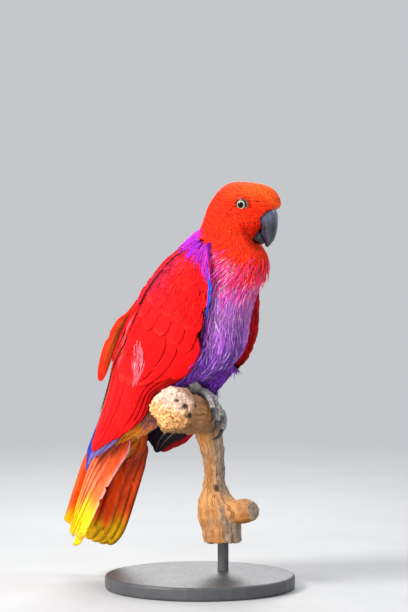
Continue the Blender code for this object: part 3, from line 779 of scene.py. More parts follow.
# The angles of both rows, and how long their feathers are, on the right cheek and on the left.
CHEEKS = (((1.9, 2.85), (1.95, 2.7), 1.0), ((3.43, 4.38), (3.58, 4.33), 0.75))


def chin_feathers(coat):
    """Red feathers that come forward from each cheek over the base of the lower bill."""
    for *rows_angles, reach in CHEEKS:
        for angles, row in zip(rows_angles, CHIN_ROWS):
            spacing, places, ahead, drop, scatter, lengths, widest, lifts, rows, most_painted_shade, tip = row
            place, angle = spread(body_point, spacing, places, angles)
            count = len(place)
            lie = np.array((ahead * HEAD_COS, ahead * HEAD_SIN, drop)) + rng.normal(0, scatter, (count, 3))
            length = rng.uniform(*lengths, count) * reach
            made = wisps(body_point(place, angle), out_of_body(place, angle), lie, length,
                         rng.uniform(0.45, widest, count), rng.uniform(*lifts, count), rows, sway=0.3)
            colour = np.tile(HEAD_RED, (count, 1))
            # Feathers of the second row are mixed towards deep red: painted shade over the base of the lower bill.
            if most_painted_shade:
                colour = mix(colour, DEEP_RED, rng.uniform(0.0, most_painted_shade, count))
            coat.add(made, WISP, 0.6, length, shaded(colour, made[1], 0.9, tip, 0.06), bake_place(place, angle))


def plain_colours(place, angle, t):
    return shaded(mottled(place, angle, 0.25, 0.08), t, 0.6, 1.05, 0.08)


def neck_colours(place, angle, t):
    base = mottled(place, angle, 0.32, 0.10)
    red = rng.random(len(place)) < 0.55 * step(7.9, 9.2, place) * step(80, 130, turned(angle))
    base = mix(base, HEAD_RED, red * rng.uniform(0.5, 1.0, len(place)))
    # pale: painted highlights, pinkish white, on some feathers at the front of the neck.
    pale = (rng.random(len(place)) < 0.38) * rng.uniform(0.15, 0.8, len(place))
    base = mix(base, (0.95, 0.52, 0.68), pale * step(10.1, 9.3, place) * step(60, 100, turned(angle)))
    return shaded(base, t, 0.72, 1.15, 0.10)


def tuft_colours(place, angle, t):
    base = mix(HEAD_RED, NECK_PINK, rng.random(len(place)) * 0.5)
    return shaded(base, t, 0.7, 1.15, 0.10)


def breast_colours(place, angle, t):
    base = mottled(place, angle, 0.30, 0.10)
    # pale: painted highlights, pinkish white, on some breast feathers.
    pale = (rng.random(len(place)) < 0.22) * rng.uniform(0.15, 0.65, len(place))
    base = mix(base, (0.86, 0.62, 0.90), pale)
    return shaded(base, t, 0.60, 1.15, 0.14)


def covert_colours(place, angle, t):
    base = mottled(place, angle, 0.2, 0.1)
    pale = rng.random(len(place)) * 0.5
    base = mix(base, TAIL_YELLOW, pale)
    return shaded(base, t, 0.6, 1.1, 0.12)


def back_colours(place, angle, t):
    return shaded(mottled(place, angle, 0.15, 0.06), t, 0.45, 1.15, 0.10)


def dress_body(looks):
    """The small feathers of head, neck, breast, back and undertail."""
    front, back = (2.05, 4.24), (-1.0, 1.0)
    shown = lambda place, angle: ~under_wing(place, angle)
    facial = lambda place, angle: 1.0 - 0.35 * step(12.5, 15.0, place)

    head = Coat("coat_head")
    place, angle = spread(body_point, 1.35, (9.9, 15.9), (-math.pi, math.pi),
                          keep=lambda p, a: ~eye_ring(p, a, 5.6) & (on_bill(body_point(p, a)) < 0.5), size=facial)
    length = np.interp(place, (10, 11.5, 13, 15, 16), (8.0, 6.5, 5.4, 3.6, 2.6)) * rng.uniform(0.85, 1.15, len(place))
    body_feathers(head, place, angle, length, 0.19 * length * rng.uniform(0.8, 1.2, len(place)),
                  (-0.8, 0.04 + 0.16 * rng.random(len(place))), 5, WISP, hairy, head_colours, drift=0.012,
                  radius=25.0, thick=0.09)
    chin_feathers(head)
    head.build(looks["head"], "red_feathers")

    neck = Coat("coat_neck")
    place, angle = spread(body_point, 5.2, (7.2, 10.8), (-math.pi, math.pi), keep=shown)
    body_feathers(neck, place, angle, rng.uniform(14, 18, len(place)), rng.uniform(3.0, 4.2, len(place)),
                  (-1.9, -0.6), 8, SCALE, rounded(0.3, 0.5), plain_colours, drift=0.03, notch=0.35, radius=32.0)
    place, angle = spread(body_point, 1.7, (7.2, 10.9), (-math.pi, math.pi), keep=shown)
    body_feathers(neck, place, angle, rng.uniform(9, 15, len(place)), rng.uniform(0.35, 0.85, len(place)),
                  (-1.4, rng.uniform(-0.3, 0.8, len(place))), 7, WISP, hairy, neck_colours, drift=0.05,
                  thick=0.25, sway=0.7, radius=30.0)
    place, angle = spread(body_point, 3.0, (9.0, 10.3), (2.45, 3.75))
    body_feathers(neck, place, angle, rng.uniform(13, 19, len(place)), rng.uniform(0.8, 1.5, len(place)),
                  (-1.4, rng.uniform(1.0, 4.5, len(place))), 8, WISP, hairy, tuft_colours, drift=0.10, thick=0.35,
                  sway=1.2, radius=30.0)
    neck.build(looks["body"], "violet_feathers")

    breast = Coat("coat_breast")
    place, angle = spread(body_point, 6.0, (2.6, 7.4), front, keep=shown)
    body_feathers(breast, place, angle, rng.uniform(15, 20, len(place)), rng.uniform(3.6, 5.2, len(place)),
                  (-1.9, -0.6), 8, SCALE, rounded(0.3, 0.5), plain_colours, drift=0.03, notch=0.35, radius=40.0)
    place, angle = spread(body_point, 2.15, (2.6, 7.4), front, keep=shown)
    body_feathers(breast, place, angle, rng.uniform(11, 18, len(place)), rng.uniform(0.5, 1.25, len(place)),
                  (-1.6, rng.uniform(-0.3, 1.0, len(place))), 7, WISP, hairy, breast_colours, drift=0.05,
                  thick=0.32, sway=0.8, radius=35.0)
    place, angle = spread(body_point, 2.0, (4.6, 8.8), (2.0, 3.1),
                          keep=lambda p, a: (np.abs(turned(a) - lower_edge(p) - 6) < 9))
    over = rng.uniform(1.0, 7.0, len(place)) * step(lower_edge(place) + 15, lower_edge(place), turned(angle))
    body_feathers(breast, place, angle, rng.uniform(10, 15, len(place)), rng.uniform(0.6, 1.2, len(place)),
                  (over - 1.5, over), 7, WISP, hairy, breast_colours, drift=0.06, thick=0.3, sway=0.8, radius=35.0)
    breast.build(looks["body"], "violet_feathers")

    mantle = Coat("coat_back")
    place, angle = spread(body_point, 5.6, (0.4, 8.9), back, keep=shown)
    body_feathers(mantle, place, angle, rng.uniform(13, 17, len(place)), rng.uniform(4.2, 5.6, len(place)),
                  (-1.6, rng.uniform(-0.1, 0.4, len(place))), 9, SCALE, rounded(0.35, 0.5), back_colours, drift=0.02,
                  notch=0.2, radius=34.0)
    mantle.build(looks["wing"], "red_feathers")

    vent = Coat("coat_undertail")
    place, angle = spread(body_point, 5.0, (0.1, 3.3), (0.95, 2 * math.pi - 0.95), keep=shown)
    body_feathers(vent, place, angle, rng.uniform(18, 26, len(place)), rng.uniform(2.6, 4.4, len(place)),
                  (-1.8, rng.uniform(-0.5, 0.8, len(place))), 9, SCALE, rounded(0.3, 0.6), covert_colours, drift=0.06,
                  notch=0.3, sway=0.8, radius=22.0)
    for side in SIDES:
        count = 22
        share = np.linspace(0.25, 1.0, count)
        stop = rng.uniform(1.6, 2.7, count) + 0.7 * (1 - share)
        made = vanes(tail_surface(side), (-0.8, share), (stop, 0.05 + 0.56 * share), rng.uniform(2.8, 4.0, count),
                     (-4.4, -3.2), 14, SCALE, rounded(0.3, 0.4), thick=0.2, sway=0.8, notch=0.3)
        colour = mix(COVERT_ORANGE, TAIL_YELLOW, rng.uniform(0, 0.5, count))
        colour = mix(colour, (0.80, 0.05, 0.006), (rng.random(count) < 0.25) * 0.8)
        vent.add(made, SCALE, 3.0, 34.0, shaded(colour, made[1], 0.8, 1.1, 0.08),
                 (rng.uniform(0.3, 0.7, count), 0.03 + 0.05 * rng.random(count)))
    vent.build(looks["body"], "tail_feathers")


# Wings and tail


def wing_surface(side):
    return beyond(lambda run, share, lift=0.0: wing_point(side, run, share, lift), 0.0, float(WING_RUN[-1]))


def edge_surface(side, share):
    """The narrow edge face of a wing: run along it, depth inwards, and lift away from it."""
    way = 1 if share > 0.5 else -1
    return beyond(lambda run, depth, lift=0.0: wing_point(side, run, share + way * lift / 60.0, -depth), 0.0,
                  float(WING_RUN[-1]))


def rows_over(surface, runs, gap, edges=(0.03, 0.97), loose=0.12):
    """Roots in staggered rows across a wing, gap millimetres apart in a row."""
    starts, shares = [], []
    for k, run in enumerate(runs):
        line = surface(np.full(24, run), np.linspace(*edges, 24))
        wide = np.linalg.norm(np.diff(line, axis=0), axis=-1).sum()
        count = max(int(round(wide / gap)), 2)
        share = edges[0] + (edges[1] - edges[0]) * (np.arange(count) + 0.5 * (k % 2) + 0.25) / count
        share = share + rng.normal(0, loose, count) / count
        starts.append(run + rng.normal(0, 0.6, count))
        shares.append(np.clip(share, edges[0], edges[1]))
    return np.concatenate(starts), np.concatenate(shares)


# The painted shadow in the gap where the folded wing's inner feathers part, laid as a line of near-black feathers: runs
# and shares.
SHADOW_GAP_LINE = ((0, 30, 60, 90, 120, 150, 180, 200), (0.10, 0.12, 0.12, 0.14, 0.19, 0.16, 0.06, 0.0))


def wing_place(run, share):
    return 0.02 + 0.96 * np.clip(share, 0, 1), 0.02 + 0.96 * np.clip(run, 0, 251) / 251


def atlas(count, columns):
    """Places for large feathers on their piece's bake map, in a grid of cells that don't overlap."""
    k = np.arange(count)
    wide, tall = 1.0 / columns, 1.0 / -(-count // columns)
    centre = ((k % columns + 0.5) * wide, (k // columns + 0.5) * tall)
    return centre, np.tile((wide * 0.9, tall * 0.92), (count, 1))


def webs(section, low_web, high_web, under):
    """Colours round a feather's section: one web, the other web and the underside, as (feather, 1, ring, 3)."""
    a, h = section.T
    low_web, high_web, under = (np.asarray(v)[..., None, :] for v in (low_web, high_web, under))
    top = mix(low_web, high_web, step(-0.35, 0.35, a)[None])
    return mix(top, under, np.where(h < -0.05, 1.0, 0.0))[:, None]


def flight_colours(section, t, low_web, high_web, under, root=0.6, tip=1.05, vary=0.06):
    colours = webs(section, low_web, high_web, under)
    # darker towards the root: painted shade where the feather lies under others
    ramp = np.interp(t, (0, 0.4, 0.9, 1), (root, 0.95, 1.0, tip))
    each = 1 + rng.normal(0, vary, (len(colours), 1, 1, 1))
    return colours * each * ramp[None, :, None, None]


# The wing's longer coverts: start, length, gap, half width, lift at the root and at the tip of two tiers.
COVERT_TIERS = ((40.0, 27.0, 10.5, 7.6, -1.0, 0.08), (54.0, 33.0, 11.5, 8.6, -1.15, 0.0))
# Where the tips of the last coverts, of the inner flight feathers and of the primaries lie: (share, run).
COVERT_TIPS = ((0.14, 108), (0.22, 128), (0.31, 143), (0.42, 149), (0.54, 146), (0.66, 139), (0.78, 130), (0.90, 117))
FLIGHT_TIPS = ((0.02, 176), (0.12, 194), (0.26, 214), (0.38, 226), (0.48, 228), (0.58, 223), (0.69, 215), (0.79, 205),
               (0.87, 193), (0.93, 179), (0.965, 164))
LEFT_FLIGHT_RUNS = (236, 242, 246, 246, 242, 235, 226)  # the left wing's runs from the fifth tip on
PRIMARY_TIPS = ((-0.8, 226), (-0.35, 236), (0.0, 243), (0.28, 250), (0.44, 248), (0.58, 243), (0.72, 236),
                (0.86, 228))


def dress_wing(side, looks):
    name = SIDES[side]
    surface = wing_surface(side)
    piece = small_wing_feathers(side, surface).build(looks["wing"], "red_feathers")
    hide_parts(f"wing_{name}")
    wing_coverts(name, surface).build(looks["vane"], "red_feathers")
    flight_feathers(side, surface).build(looks["vane"], "red_feathers")


def small_wing_feathers(side, surface):
    """The scaly feathers of a wing's upper part and edges, with the barbs over them."""
    small = Coat(f"wing_{SIDES[side]}_small_feathers")
    run, share = rows_over(surface, np.arange(1.0, 56.0, 5.6), 7.6, (0.15, 0.93))
    count = len(run)
    length = rng.uniform(13.5, 16.0, count) + 0.06 * run
    colour = mix(WING_RED, DEEP_RED, rng.random(count) * 0.22)
    # A plum-tinted painted shade darkens the upper feathers near the back.
    plum_shade = step(0.48, 0.12, share) * step(-4, 14, run) * rng.uniform(0.5, 1.0, count)
    half = rng.uniform(5.2, 6.2, count) + 0.012 * run
    lay(small, surface, (run, share), (run + length, share + rng.normal(0, 0.010, count)), half,
        (-1.0, rng.uniform(-0.08, 0.06, count)), 12, VANE, rounded(0.35, 0.6), length, mix(colour, PLUM_SHADE_RED, plum_shade),
        (0.95, 1.0, 0.03), wing_place(run, share), radius=44.0, notch=0.12, roll=0.006, thick=0.06)

    edge = edge_surface(side, 1.0)
    for depth in (1.2, 3.8, 6.4):
        run = np.arange(-6.0, 100.0, 4.6) + rng.normal(0, 0.5, 24)
        count = len(run)
        blue = step(50, 38, run) * step(6, 14, run) * (1.0 if side < 0 and depth < 4 else 0.0)
        colour = mix(DEEP_VIOLET, DEEP_RED, 0.35 if side < 0 else 1.0)
        colour = mix(colour, WING_RED if side > 0 else COLLAR_PURPLE, rng.random(count) * 0.3)
        colour = mix(mix(colour, COLLAR_PURPLE, step(18, 6, run)), EDGE_BLUE, blue)
        half, length = rng.uniform(2.6, 3.4, count), rng.uniform(10, 13, count)
        lay(small, edge, (run, depth), (run + length, depth + rng.normal(0, 0.4, count)), half,
            (-1.3, rng.uniform(-0.2, 0.3, count)), 8, SCALE, rounded(0.35, 0.55), length, colour, (0.5, 1.15, 0.10),
            wing_place(run, 0.99), radius=8.0, notch=0.1)
    edge = edge_surface(side, 0.0)
    for depth in (3.0, 6.0):
        run = np.arange(-4.0, 130.0, 6.0)
        count = len(run)
        colour = mix(DEEP_RED, WING_RED, rng.uniform(0.0, 0.6, count))
        half, length = rng.uniform(3.4, 4.4, count), rng.uniform(15, 20, count)
        lay(small, edge, (run, depth), (run + length, depth + rng.normal(0, 0.4, count)), half,
            (-1.3, rng.uniform(-0.3, 0.2, count)), 8, SCALE, rounded(0.35, 0.55), length, colour, (0.6, 1.1, 0.08),
            wing_place(run, 0.01), radius=10.0, notch=0.1)
    if side < 0:  # the blue marks at the bend of the near wing
        run = np.array((9.0, 13.0, 18.0, 22.0, 27.0, 31.0, 36.0))
        share = np.array((0.985, 1.0, 0.985, 1.005, 0.985, 1.0, 0.99))
        lay(small, surface, (run, share), (run + 8.5, share + 0.004), 1.25, (-0.5, 0.4), 8, SCALE, rounded(0.35, 0.5),
            8.5, np.tile(EDGE_BLUE, (7, 1)), (0.8, 1.1, 0.10), wing_place(run, share), own=1.7, radius=9.0, notch=0.1,
            thick=0.2)
    # Near-black feathers along that gap: painted shadow.
    run = np.arange(4.0, 188.0, 5.0)
    count = len(run)
    share = np.interp(run, *SHADOW_GAP_LINE) + rng.normal(0, 0.004, count)
    lay(small, surface, (run, share), (run + 13, np.interp(run + 13, *SHADOW_GAP_LINE)), 0.85, (-0.3, 0.45), 8, SCALE,
        rounded(0.3, 0.6), 13.0, mix(FLIGHT_DARK, DEEP_RED, rng.uniform(0.0, 0.35, count)), (0.8, 1.0, 0.1),
        wing_place(run, share), radius=14.0, thick=0.15)
    run = np.arange(2.0, 128.0, 7.0)
    count = len(run)
    share = np.interp(run, (0, 60, 130), (0.05, 0.035, 0.01)) + rng.normal(0, 0.006, count)
    # Some rim feathers are mixed towards a dark plum red: painted shade along the wing's back edge.
    colour = mix(WING_RED, (0.42, 0.02, 0.06), rng.random(count) * 0.6)
    length = rng.uniform(22, 27, count)
    lay(small, surface, (run, share), (run + length, share - 0.01), 3.9, (-1.0, 0.1), 12, VANE, rounded(0.3, 0.5),
        length, colour, (0.8, 1.05, 0.05), wing_place(run, share), radius=14.0, notch=0.08, thick=0.1)
    fringe_wing(small, surface)
    collar_over_wing(small, surface)
    return small


def wing_coverts(name, surface):
    """Three tiers of longer coverts over the flight feathers' roots."""
    coverts = Coat(f"wing_{name}_coverts")
    groups = []
    for start, length, gap, half, low, high in COVERT_TIERS:
        run, share = rows_over(surface, (start,), gap, (0.15, 0.93), 0.06)
        groups.append((run, share, run + length * rng.uniform(0.92, 1.08, len(run)), half, low, high))
    share, stop = np.array(COVERT_TIPS).T
    groups.append((70.0 + 6.0 * np.sin(np.pi * share), share, stop + rng.normal(0, 1.0, len(stop)), 9.6, -1.4, -0.25))
    centre, cell = atlas(sum(len(g[0]) for g in groups), 8)
    at = 0
    for run, share, stop, half, low, high in groups:
        count = len(run)
        colour = mix(WING_RED, DEEP_RED, rng.random(count) * 0.18)
        made = vanes(surface, (run, share), (stop, share), half * rng.uniform(0.94, 1.06, count), (low, high), 26,
                     VANE, rounded(0.3, 0.32, 2.3), radius=50.0, notch=0.04, roll=0.014, thick=0.09, wave=0.14)
        shade = flight_colours(VANE, made[1], mix(colour, DEEP_RED, 0.12), colour, (0.20, 0.02, 0.012), 0.85, 1.0, 0.08)
        tip = step(0.80, 0.97, made[1])[None, :, None] * rng.uniform(0.0, 0.4, (count, 1, 1))
        shade = mix(shade, SALMON, tip)
        # pale: a painted lilac sheen on one web of the inner coverts near the back.
        pale = (step(0.35, 0.75, made[1])[None, :, None] * step(0.2, 0.8, -VANE[:, 0])[None, None]
                * (step(0.45, 0.15, share) * (np.min(run) > 60))[:, None, None])
        shade = mix(shade, (0.62, 0.16, 0.22), 0.5 * pale)
        mine = slice(at, at + count)
        coverts.add(made, VANE, half, stop - run, shade, (centre[0][mine], centre[1][mine]), cell[mine])
        at += count
    return coverts


def flight_feathers(side, surface):
    """A wing's inner flight feathers, the dark primaries under them, and two bare shafts."""
    flight = Coat(f"wing_{SIDES[side]}_flight_feathers")
    tips = np.array(FLIGHT_TIPS)
    if side > 0:
        tips[4:, 1] = LEFT_FLIGHT_RUNS
    share, stop = tips.T
    count = len(tips)
    place, stop_under = np.array(PRIMARY_TIPS).T
    centre, cell = atlas(count + len(place), 6)
    start = np.interp(share, (0, 0.5, 1), (94, 104, 96))
    half = np.interp(np.arange(count), (0, 1, 2), (4.0, 6.0, 9.0))
    made = vanes(surface, (start, 0.08 + 0.86 * share), (stop, share), half, (-1.9, -0.5), 44, VANE,
                 rounded(0.12, 0.14, 2.2), radius=48.0, notch=0.03, roll=0.018, thick=0.10, uneven=(1.0, 0.9),
                 wave=0.14)
    red = mix(WING_RED, DEEP_RED, 0.05 + 0.15 * rng.random(count))
    olive = mix(red, (0.06, 0.065, 0.012), (np.arange(count) < 2) * 0.85)
    high_web = mix(red, DEEP_RED, step(0.72, 0.98, share) * 0.5)
    shade = flight_colours(VANE, made[1], mix(olive, DEEP_RED, 0.12), high_web, (0.03, 0.006, 0.008), 0.85, 1.0, 0.03)
    flight.add(made, VANE, half, stop - start, shade, (centre[0][:count], centre[1][:count]), cell[:count])
    start, half = 138.0, 6.8
    made = vanes(surface, (start, 0.15 + 0.6 * np.maximum(place + 0.15, 0.0)), (stop_under, place), half, (-3.0, -0.9),
                 44, VANE, rounded(0.12, 0.3, 1.8), radius=60.0, notch=0.03, roll=0.03, thick=0.15, wave=0.1)
    blue = mix(FLIGHT_BLUE, (0.16, 0.10, 0.30), step(0.2, 0.6, place))
    if side > 0:
        blue = mix(FLIGHT_DARK, blue, 0.15)
    shade = flight_colours(VANE, made[1], blue, mix(blue, FLIGHT_DARK, 0.35), FLIGHT_DARK, 0.8, 0.9)
    flight.add(made, VANE, half, stop_under - start, shade, (centre[0][count:], centre[1][count:]), cell[count:])
    corner = np.array((0.01, 0.02))
    made = vanes(surface, ((186.0, 178.0), (0.66, 0.84)), ((247.0, 243.0), (0.22, 0.60)), 0.4, (-5.0, -3.6), 16, WISP,
                 hairy, thick=0.5)
    flight.add(made, WISP, 0.4, 60.0, shaded(np.tile((0.34, 0.29, 0.26), (2, 1)), made[1], 1.0, 1.0, 0.05),
               (corner, corner), 0.002)
    return flight


def fringe_wing(coat, surface):
    """Fine barbs over the small feathers and coverts, which soften their edges, and a streak of painted lilac sheen."""
    run, share = spread(surface, 2.3, (2.0, 58.0), (0.14, 0.95))
    count = len(run)
    colour = mix(WING_RED, DEEP_RED, rng.random(count) * 0.3)
    colour = mix(colour, SALMON, (rng.random(count) < 0.3) * rng.uniform(0, 0.5, count))
    # The barbs near the back take the same plum-tinted painted shade.
    plum_shade = step(0.48, 0.12, share) * step(0, 14, run) * step(84, 62, run) * rng.uniform(0.4, 1.0, count)
    length = rng.uniform(5, 9, count)
    lay(coat, surface, (run, share), (run + length, share + rng.normal(0, 0.012, count)),
        rng.uniform(0.5, 0.9, count), (-0.3, rng.uniform(0.0, 0.12, count)), 5, WISP, hairy, length,
        mix(colour, PLUM_SHADE_RED, plum_shade), (0.98, 1.0, 0.04), wing_place(run, share), own=0.7, thick=0.06, sway=0.3)
    # The streak: pale lilac barbs laid over the coverts, a painted sheen.
    count = 90
    place = rng.uniform(0, 1, count)
    run = 104 + 26 * place + rng.normal(0, 2.6, count)
    share = 0.34 + 0.22 * place + rng.normal(0, 0.032, count)
    colour = mix((0.80, 0.29, 0.37), WING_RED, rng.random(count))
    length = rng.uniform(8, 14, count)
    lay(coat, surface, (run, share), (run + length, share + 0.09 * length / 12), rng.uniform(0.35, 0.7, count),
        (-0.3, rng.uniform(0.1, 0.3, count)), 6, WISP, hairy, length, colour, (0.9, 1.05, 0.06),
        wing_place(run, share), own=0.5, thick=0.06)


def collar_over_wing(coat, surface):
    """Purple and pink collar feathers that spill over the top of the wing."""
    reach = lambda r, s: r < 6 + 9 * step(0.7, 1.0, s) + 2.0 * np.sin(23 * s)
    run, share = spread(surface, 1.3, (-4.0, 20.0), (-0.1, 1.04), keep=reach)
    count = len(run)
    pink = np.clip(step(0.6, 1.0, share) * 0.6 + rng.normal(0, 0.2, count), 0, 1)
    length = rng.uniform(8, 13, count)
    lay(coat, surface, (run, share), (run + length, share + rng.normal(0, 0.03, count)),
        rng.uniform(0.4, 0.8, count), (-0.6, rng.uniform(0.3, 1.2, count)), 6, WISP, hairy, length,
        mix(COLLAR_PURPLE, NECK_PINK, pink), (0.75, 1.1, 0.10), wing_place(run, share), own=0.6, thick=0.2, sway=0.5)


def smooth_mesh(bm, name):
    """A smooth mesh from a bmesh, its normals turned outwards."""
    bmesh.ops.recalc_face_normals(bm, faces=bm.faces)
    mesh = bpy.data.meshes.new(name)
    bm.to_mesh(mesh)
    bm.free()
    mesh.shade_smooth()
    return mesh


def wing_bed(side, look):
    """The closed arm of the wing that the feathers lie on."""
    runs = np.concatenate([np.arange(3.0, 150.0, 7.0), (155.0, 160.0)])
    shares = np.linspace(0.04, 0.96, 15)
    thick = between(WING, np.interp(runs, WING_RUN, range(len(WING))))[:, 8]
    bm = bmesh.new()
    rings = []
    for run, deep in zip(runs, thick):
        outer = wing_point(side, run, shares, -0.36 * deep)
        inner = wing_point(side, run, shares[::-1], -0.93 * deep)
        rings.append([bm.verts.new(metres(p)) for p in np.concatenate([outer, inner])])
    for before, after in zip(rings, rings[1:]):
        for k in range(len(before)):
            nxt = (k + 1) % len(before)
            bm.faces.new((before[k], before[nxt], after[nxt], after[k]))
    bm.faces.new(rings[0][::-1])
    bm.faces.new(rings[-1])
    mesh = smooth_mesh(bm, f"wing_{SIDES[side]}_arm")
    count = len(mesh.vertices)
    # The arm is painted near black: painted shade for the gaps between the wing's feathers.
    paint_points(mesh, np.tile(np.array(DEEP_RED) * 0.12, (count, 1)), np.zeros((count, 3)))
    mesh.materials.append(look)
    settle(linked(mesh), "red_feathers")


def tail_surface(side):
    return beyond(lambda place, share, lift=0.0: tail_point(side, place, share, lift), 0.0, len(TAIL) - 1.0)


def dress_tail(looks):
    """Twelve tail feathers, the middle pair on top, yellow towards their ragged tips."""
    fan = Coat("tail_fan")
    centre, cell = atlas(12, 4)
    a, h = VANE.T
    under = np.where(h < -0.05, 1.0, 0.0)
    for group, side in enumerate(SIDES):
        right = side < 0
        k = np.arange(6)
        tip = np.array((0.02, 0.06, 0.11, 0.17, 0.25, 0.69)) if right else 0.06 + 0.158 * k
        stop = np.array((9.85, 9.95, 9.9, 9.75, 9.5, 9.15)) + rng.normal(0, 0.08, 6)
        half = np.array((9.5, 10.0, 10.5, 11.0, 11.5, 13.0) if right else (11.5, 11.5, 11.5, 11.5, 11.0, 9.5))
        lifts = (-0.6 - (0.14 if right else 0.3) * k, -0.15 - (0.04 if right else 0.1) * k)
        made = vanes(tail_surface(side), (0.2, 0.08 + 0.12 * k), (stop, tip), half, lifts, 64, VANE,
                     rounded(0.1, 0.13, 2.6), radius=60.0, notch=0.03, fray=3.0, roll=0.02, thick=0.13, wave=0.15)
        t = made[1]
        down = t[None, :, None]
        # The left half is darkened with mostly the dark tail colour, painted shade; the right half keeps plain orange.
        base = np.array(TAIL_ORANGE) if right else np.array(TAIL_SHADE_RED) * 0.75 + np.array(TAIL_ORANGE) * 0.25
        # The right half's paler pinkish edges are painted sheen; the left half's edges are plain orange.
        edges = step(0.35, 0.95, np.abs(a))[None, None] * (0.55 if right else 0.8)
        base = mix(base, (0.95, 0.20, 0.11) if right else TAIL_ORANGE, edges)
        base = mix(base, DEEP_RED, step(0.35, 0.0, down) * 0.5)
        edge = (0.60 if right else 0.72) + rng.normal(0, 0.015, (6, 1, 1))
        edge = edge + 0.03 * rng.standard_normal((6, 1, len(a)))
        yellow = step(-0.09, 0.09, down - edge)
        base = mix(base, TAIL_YELLOW, yellow)
        # Underside colours, duller than the top but made bright to stand for light shining through the feathers:
        # painted glow.
        underside_with_painted_glow = mix((0.40, 0.040, 0.014), (1.0, 0.085, 0.008), step(0.20, 0.48, down))
        underside_with_painted_glow = mix(underside_with_painted_glow, (1.0, 0.54, 0.006), yellow)
        base = mix(base, underside_with_painted_glow, under) * (1 + rng.normal(0, 0.05, (6, 1, 1, 1)))
        if right:
            # rim: a painted pale pink highlight along the outer edge of the right half's outermost feather.
            rim = step(0.90, 1.0, a)[None, None] * step(0.75, 0.55, down) * (k == 5)[:, None, None]
            base = mix(base, (0.85, 0.52, 0.60), 0.8 * rim)
        mine = slice(group * 6, group * 6 + 6)
        fan.add(made, VANE, half, 128.0, base, (centre[0][mine], centre[1][mine]), cell[mine])
    for side, ends in ((-1, (9.95, 9.85, 9.4)), (1, (9.9, 9.8, 9.2))):
        count = 260
        share = rng.uniform(0.0, 1.0, count)
        end = np.interp(share, (0, 0.5, 1), ends) + rng.uniform(-0.5, 0.25, count)
        start = end - rng.uniform(0.7, 1.6, count)
        made = vanes(tail_surface(side), (start, share), (end, share + rng.normal(0, 0.012, count)),
                     rng.uniform(0.35, 0.8, count), (-0.4, rng.uniform(-0.6, 0.3, count)), 6, WISP, hairy, thick=0.16,
                     sway=0.5)
        colour = mix(TAIL_YELLOW, (0.95, 0.62, 0.03), rng.random(count))
        colour = mix(colour, (0.75, 0.22, 0.004), (rng.random(count) < 0.25) * 0.7)
        fan.add(made, WISP, 0.6, 9.0, shaded(colour, made[1], 0.95, 1.05, 0.08),
                (0.02 + 0.96 * share, 0.02 + 0.96 * rng.random(count)), 0.002)
    piece = fan.build(looks["vane"], "tail_feathers")
    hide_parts("tail")


# The line of the feather that hangs loose: (x, y, z), and the directions across it and away from the body.
LOOSE = np.array(
    ((-44, -34.5, 268), (-53, -34.5, 256), (-62, -34.5, 247), (-76, -34, 225), (-84.5, -33, 205), (-88.5, -32.5, 193)),
    float,
)
LOOSE_ACROSS, LOOSE_OUT = np.array((0.80, 0.45, 0.40)), np.array((0.40, -0.89, 0.0))


def loose_surface(place, across, lift=0.0):
    across, lift = np.asarray(across)[..., None], np.asarray(lift)[..., None]
    return between(LOOSE, place) + across * LOOSE_ACROSS + lift * LOOSE_OUT


def dress_shoulder(looks):
    """The one feather that hangs loose behind the near wing."""
    coat = Coat("shoulder_loose_feather")
    surface = beyond(loose_surface, 0.0, len(LOOSE) - 1.0)
    half = np.array((5.6, 3.4))
    made = vanes(surface, ((0.0, 0.1), (0.0, 1.2)), ((5.0, 3.4), (0.2, 3.2)), half, ((0.0, -0.7), (0.2, -0.6)), 30,
                 VANE, rounded(0.5, 0.45, 2.0), radius=14.0, notch=0.06, thick=0.25)
    warm, olive = np.tile((0.52, 0.035, 0.006), (2, 1)), (0.22, 0.055, 0.008)
    shade = flight_colours(VANE, made[1], warm, olive, DEEP_RED, 0.75, 1.0)
    red_tip = step(0.55, 0.9, made[1])[None, :, None] + step(-0.5, -0.9, VANE[:, 0])[None, None]
    shade = mix(shade, (0.80, 0.012, 0.004), np.clip(red_tip, 0, 1) * 0.8)
    coat.add(made, VANE, half, np.array((84.0, 50.0)), shade, *atlas(2, 2))
    piece = coat.build(looks["vane"], "red_feathers")
    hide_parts("shoulder_feather")


# Skin, legs and face


def copy_of(names, new_name):
    """One mesh object from copies of CAD nodes, their loose triangles merged."""
    joined = bmesh.new()
    for name in names:
        joined.from_mesh(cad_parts[name].data)
    bmesh.ops.remove_doubles(joined, verts=joined.verts, dist=0.00002)
    mesh = bpy.data.meshes.new(new_name)
    joined.to_mesh(mesh)
    joined.free()
    mesh.materials.clear()
    return linked(mesh)


def applied(piece, kind, **values):
    """Adds a modifier, sets it and applies it."""
    bpy.ops.object.select_all(action="DESELECT")
    piece.select_set(True)
    bpy.context.view_layer.objects.active = piece
    made = piece.modifiers.new(kind.lower(), kind)
    for key, value in values.items():
        setattr(made, key, value)
    bpy.ops.object.modifier_apply(modifier=made.name)


def vectors_of(items, field):
    flat = np.empty(len(items) * 3, np.float32)
    items.foreach_get(field, flat)
    return flat.reshape(-1, 3).astype(float)


def points_of(mesh):
    return vectors_of(mesh.vertices, "co") / MM + (0, 0, BELOW)


def normals_of(mesh):
    return vectors_of(mesh.vertex_normals, "vector")


def put_points(mesh, points):
    mesh.vertices.foreach_set("co", metres(points).astype(np.float32).ravel())
    mesh.update()


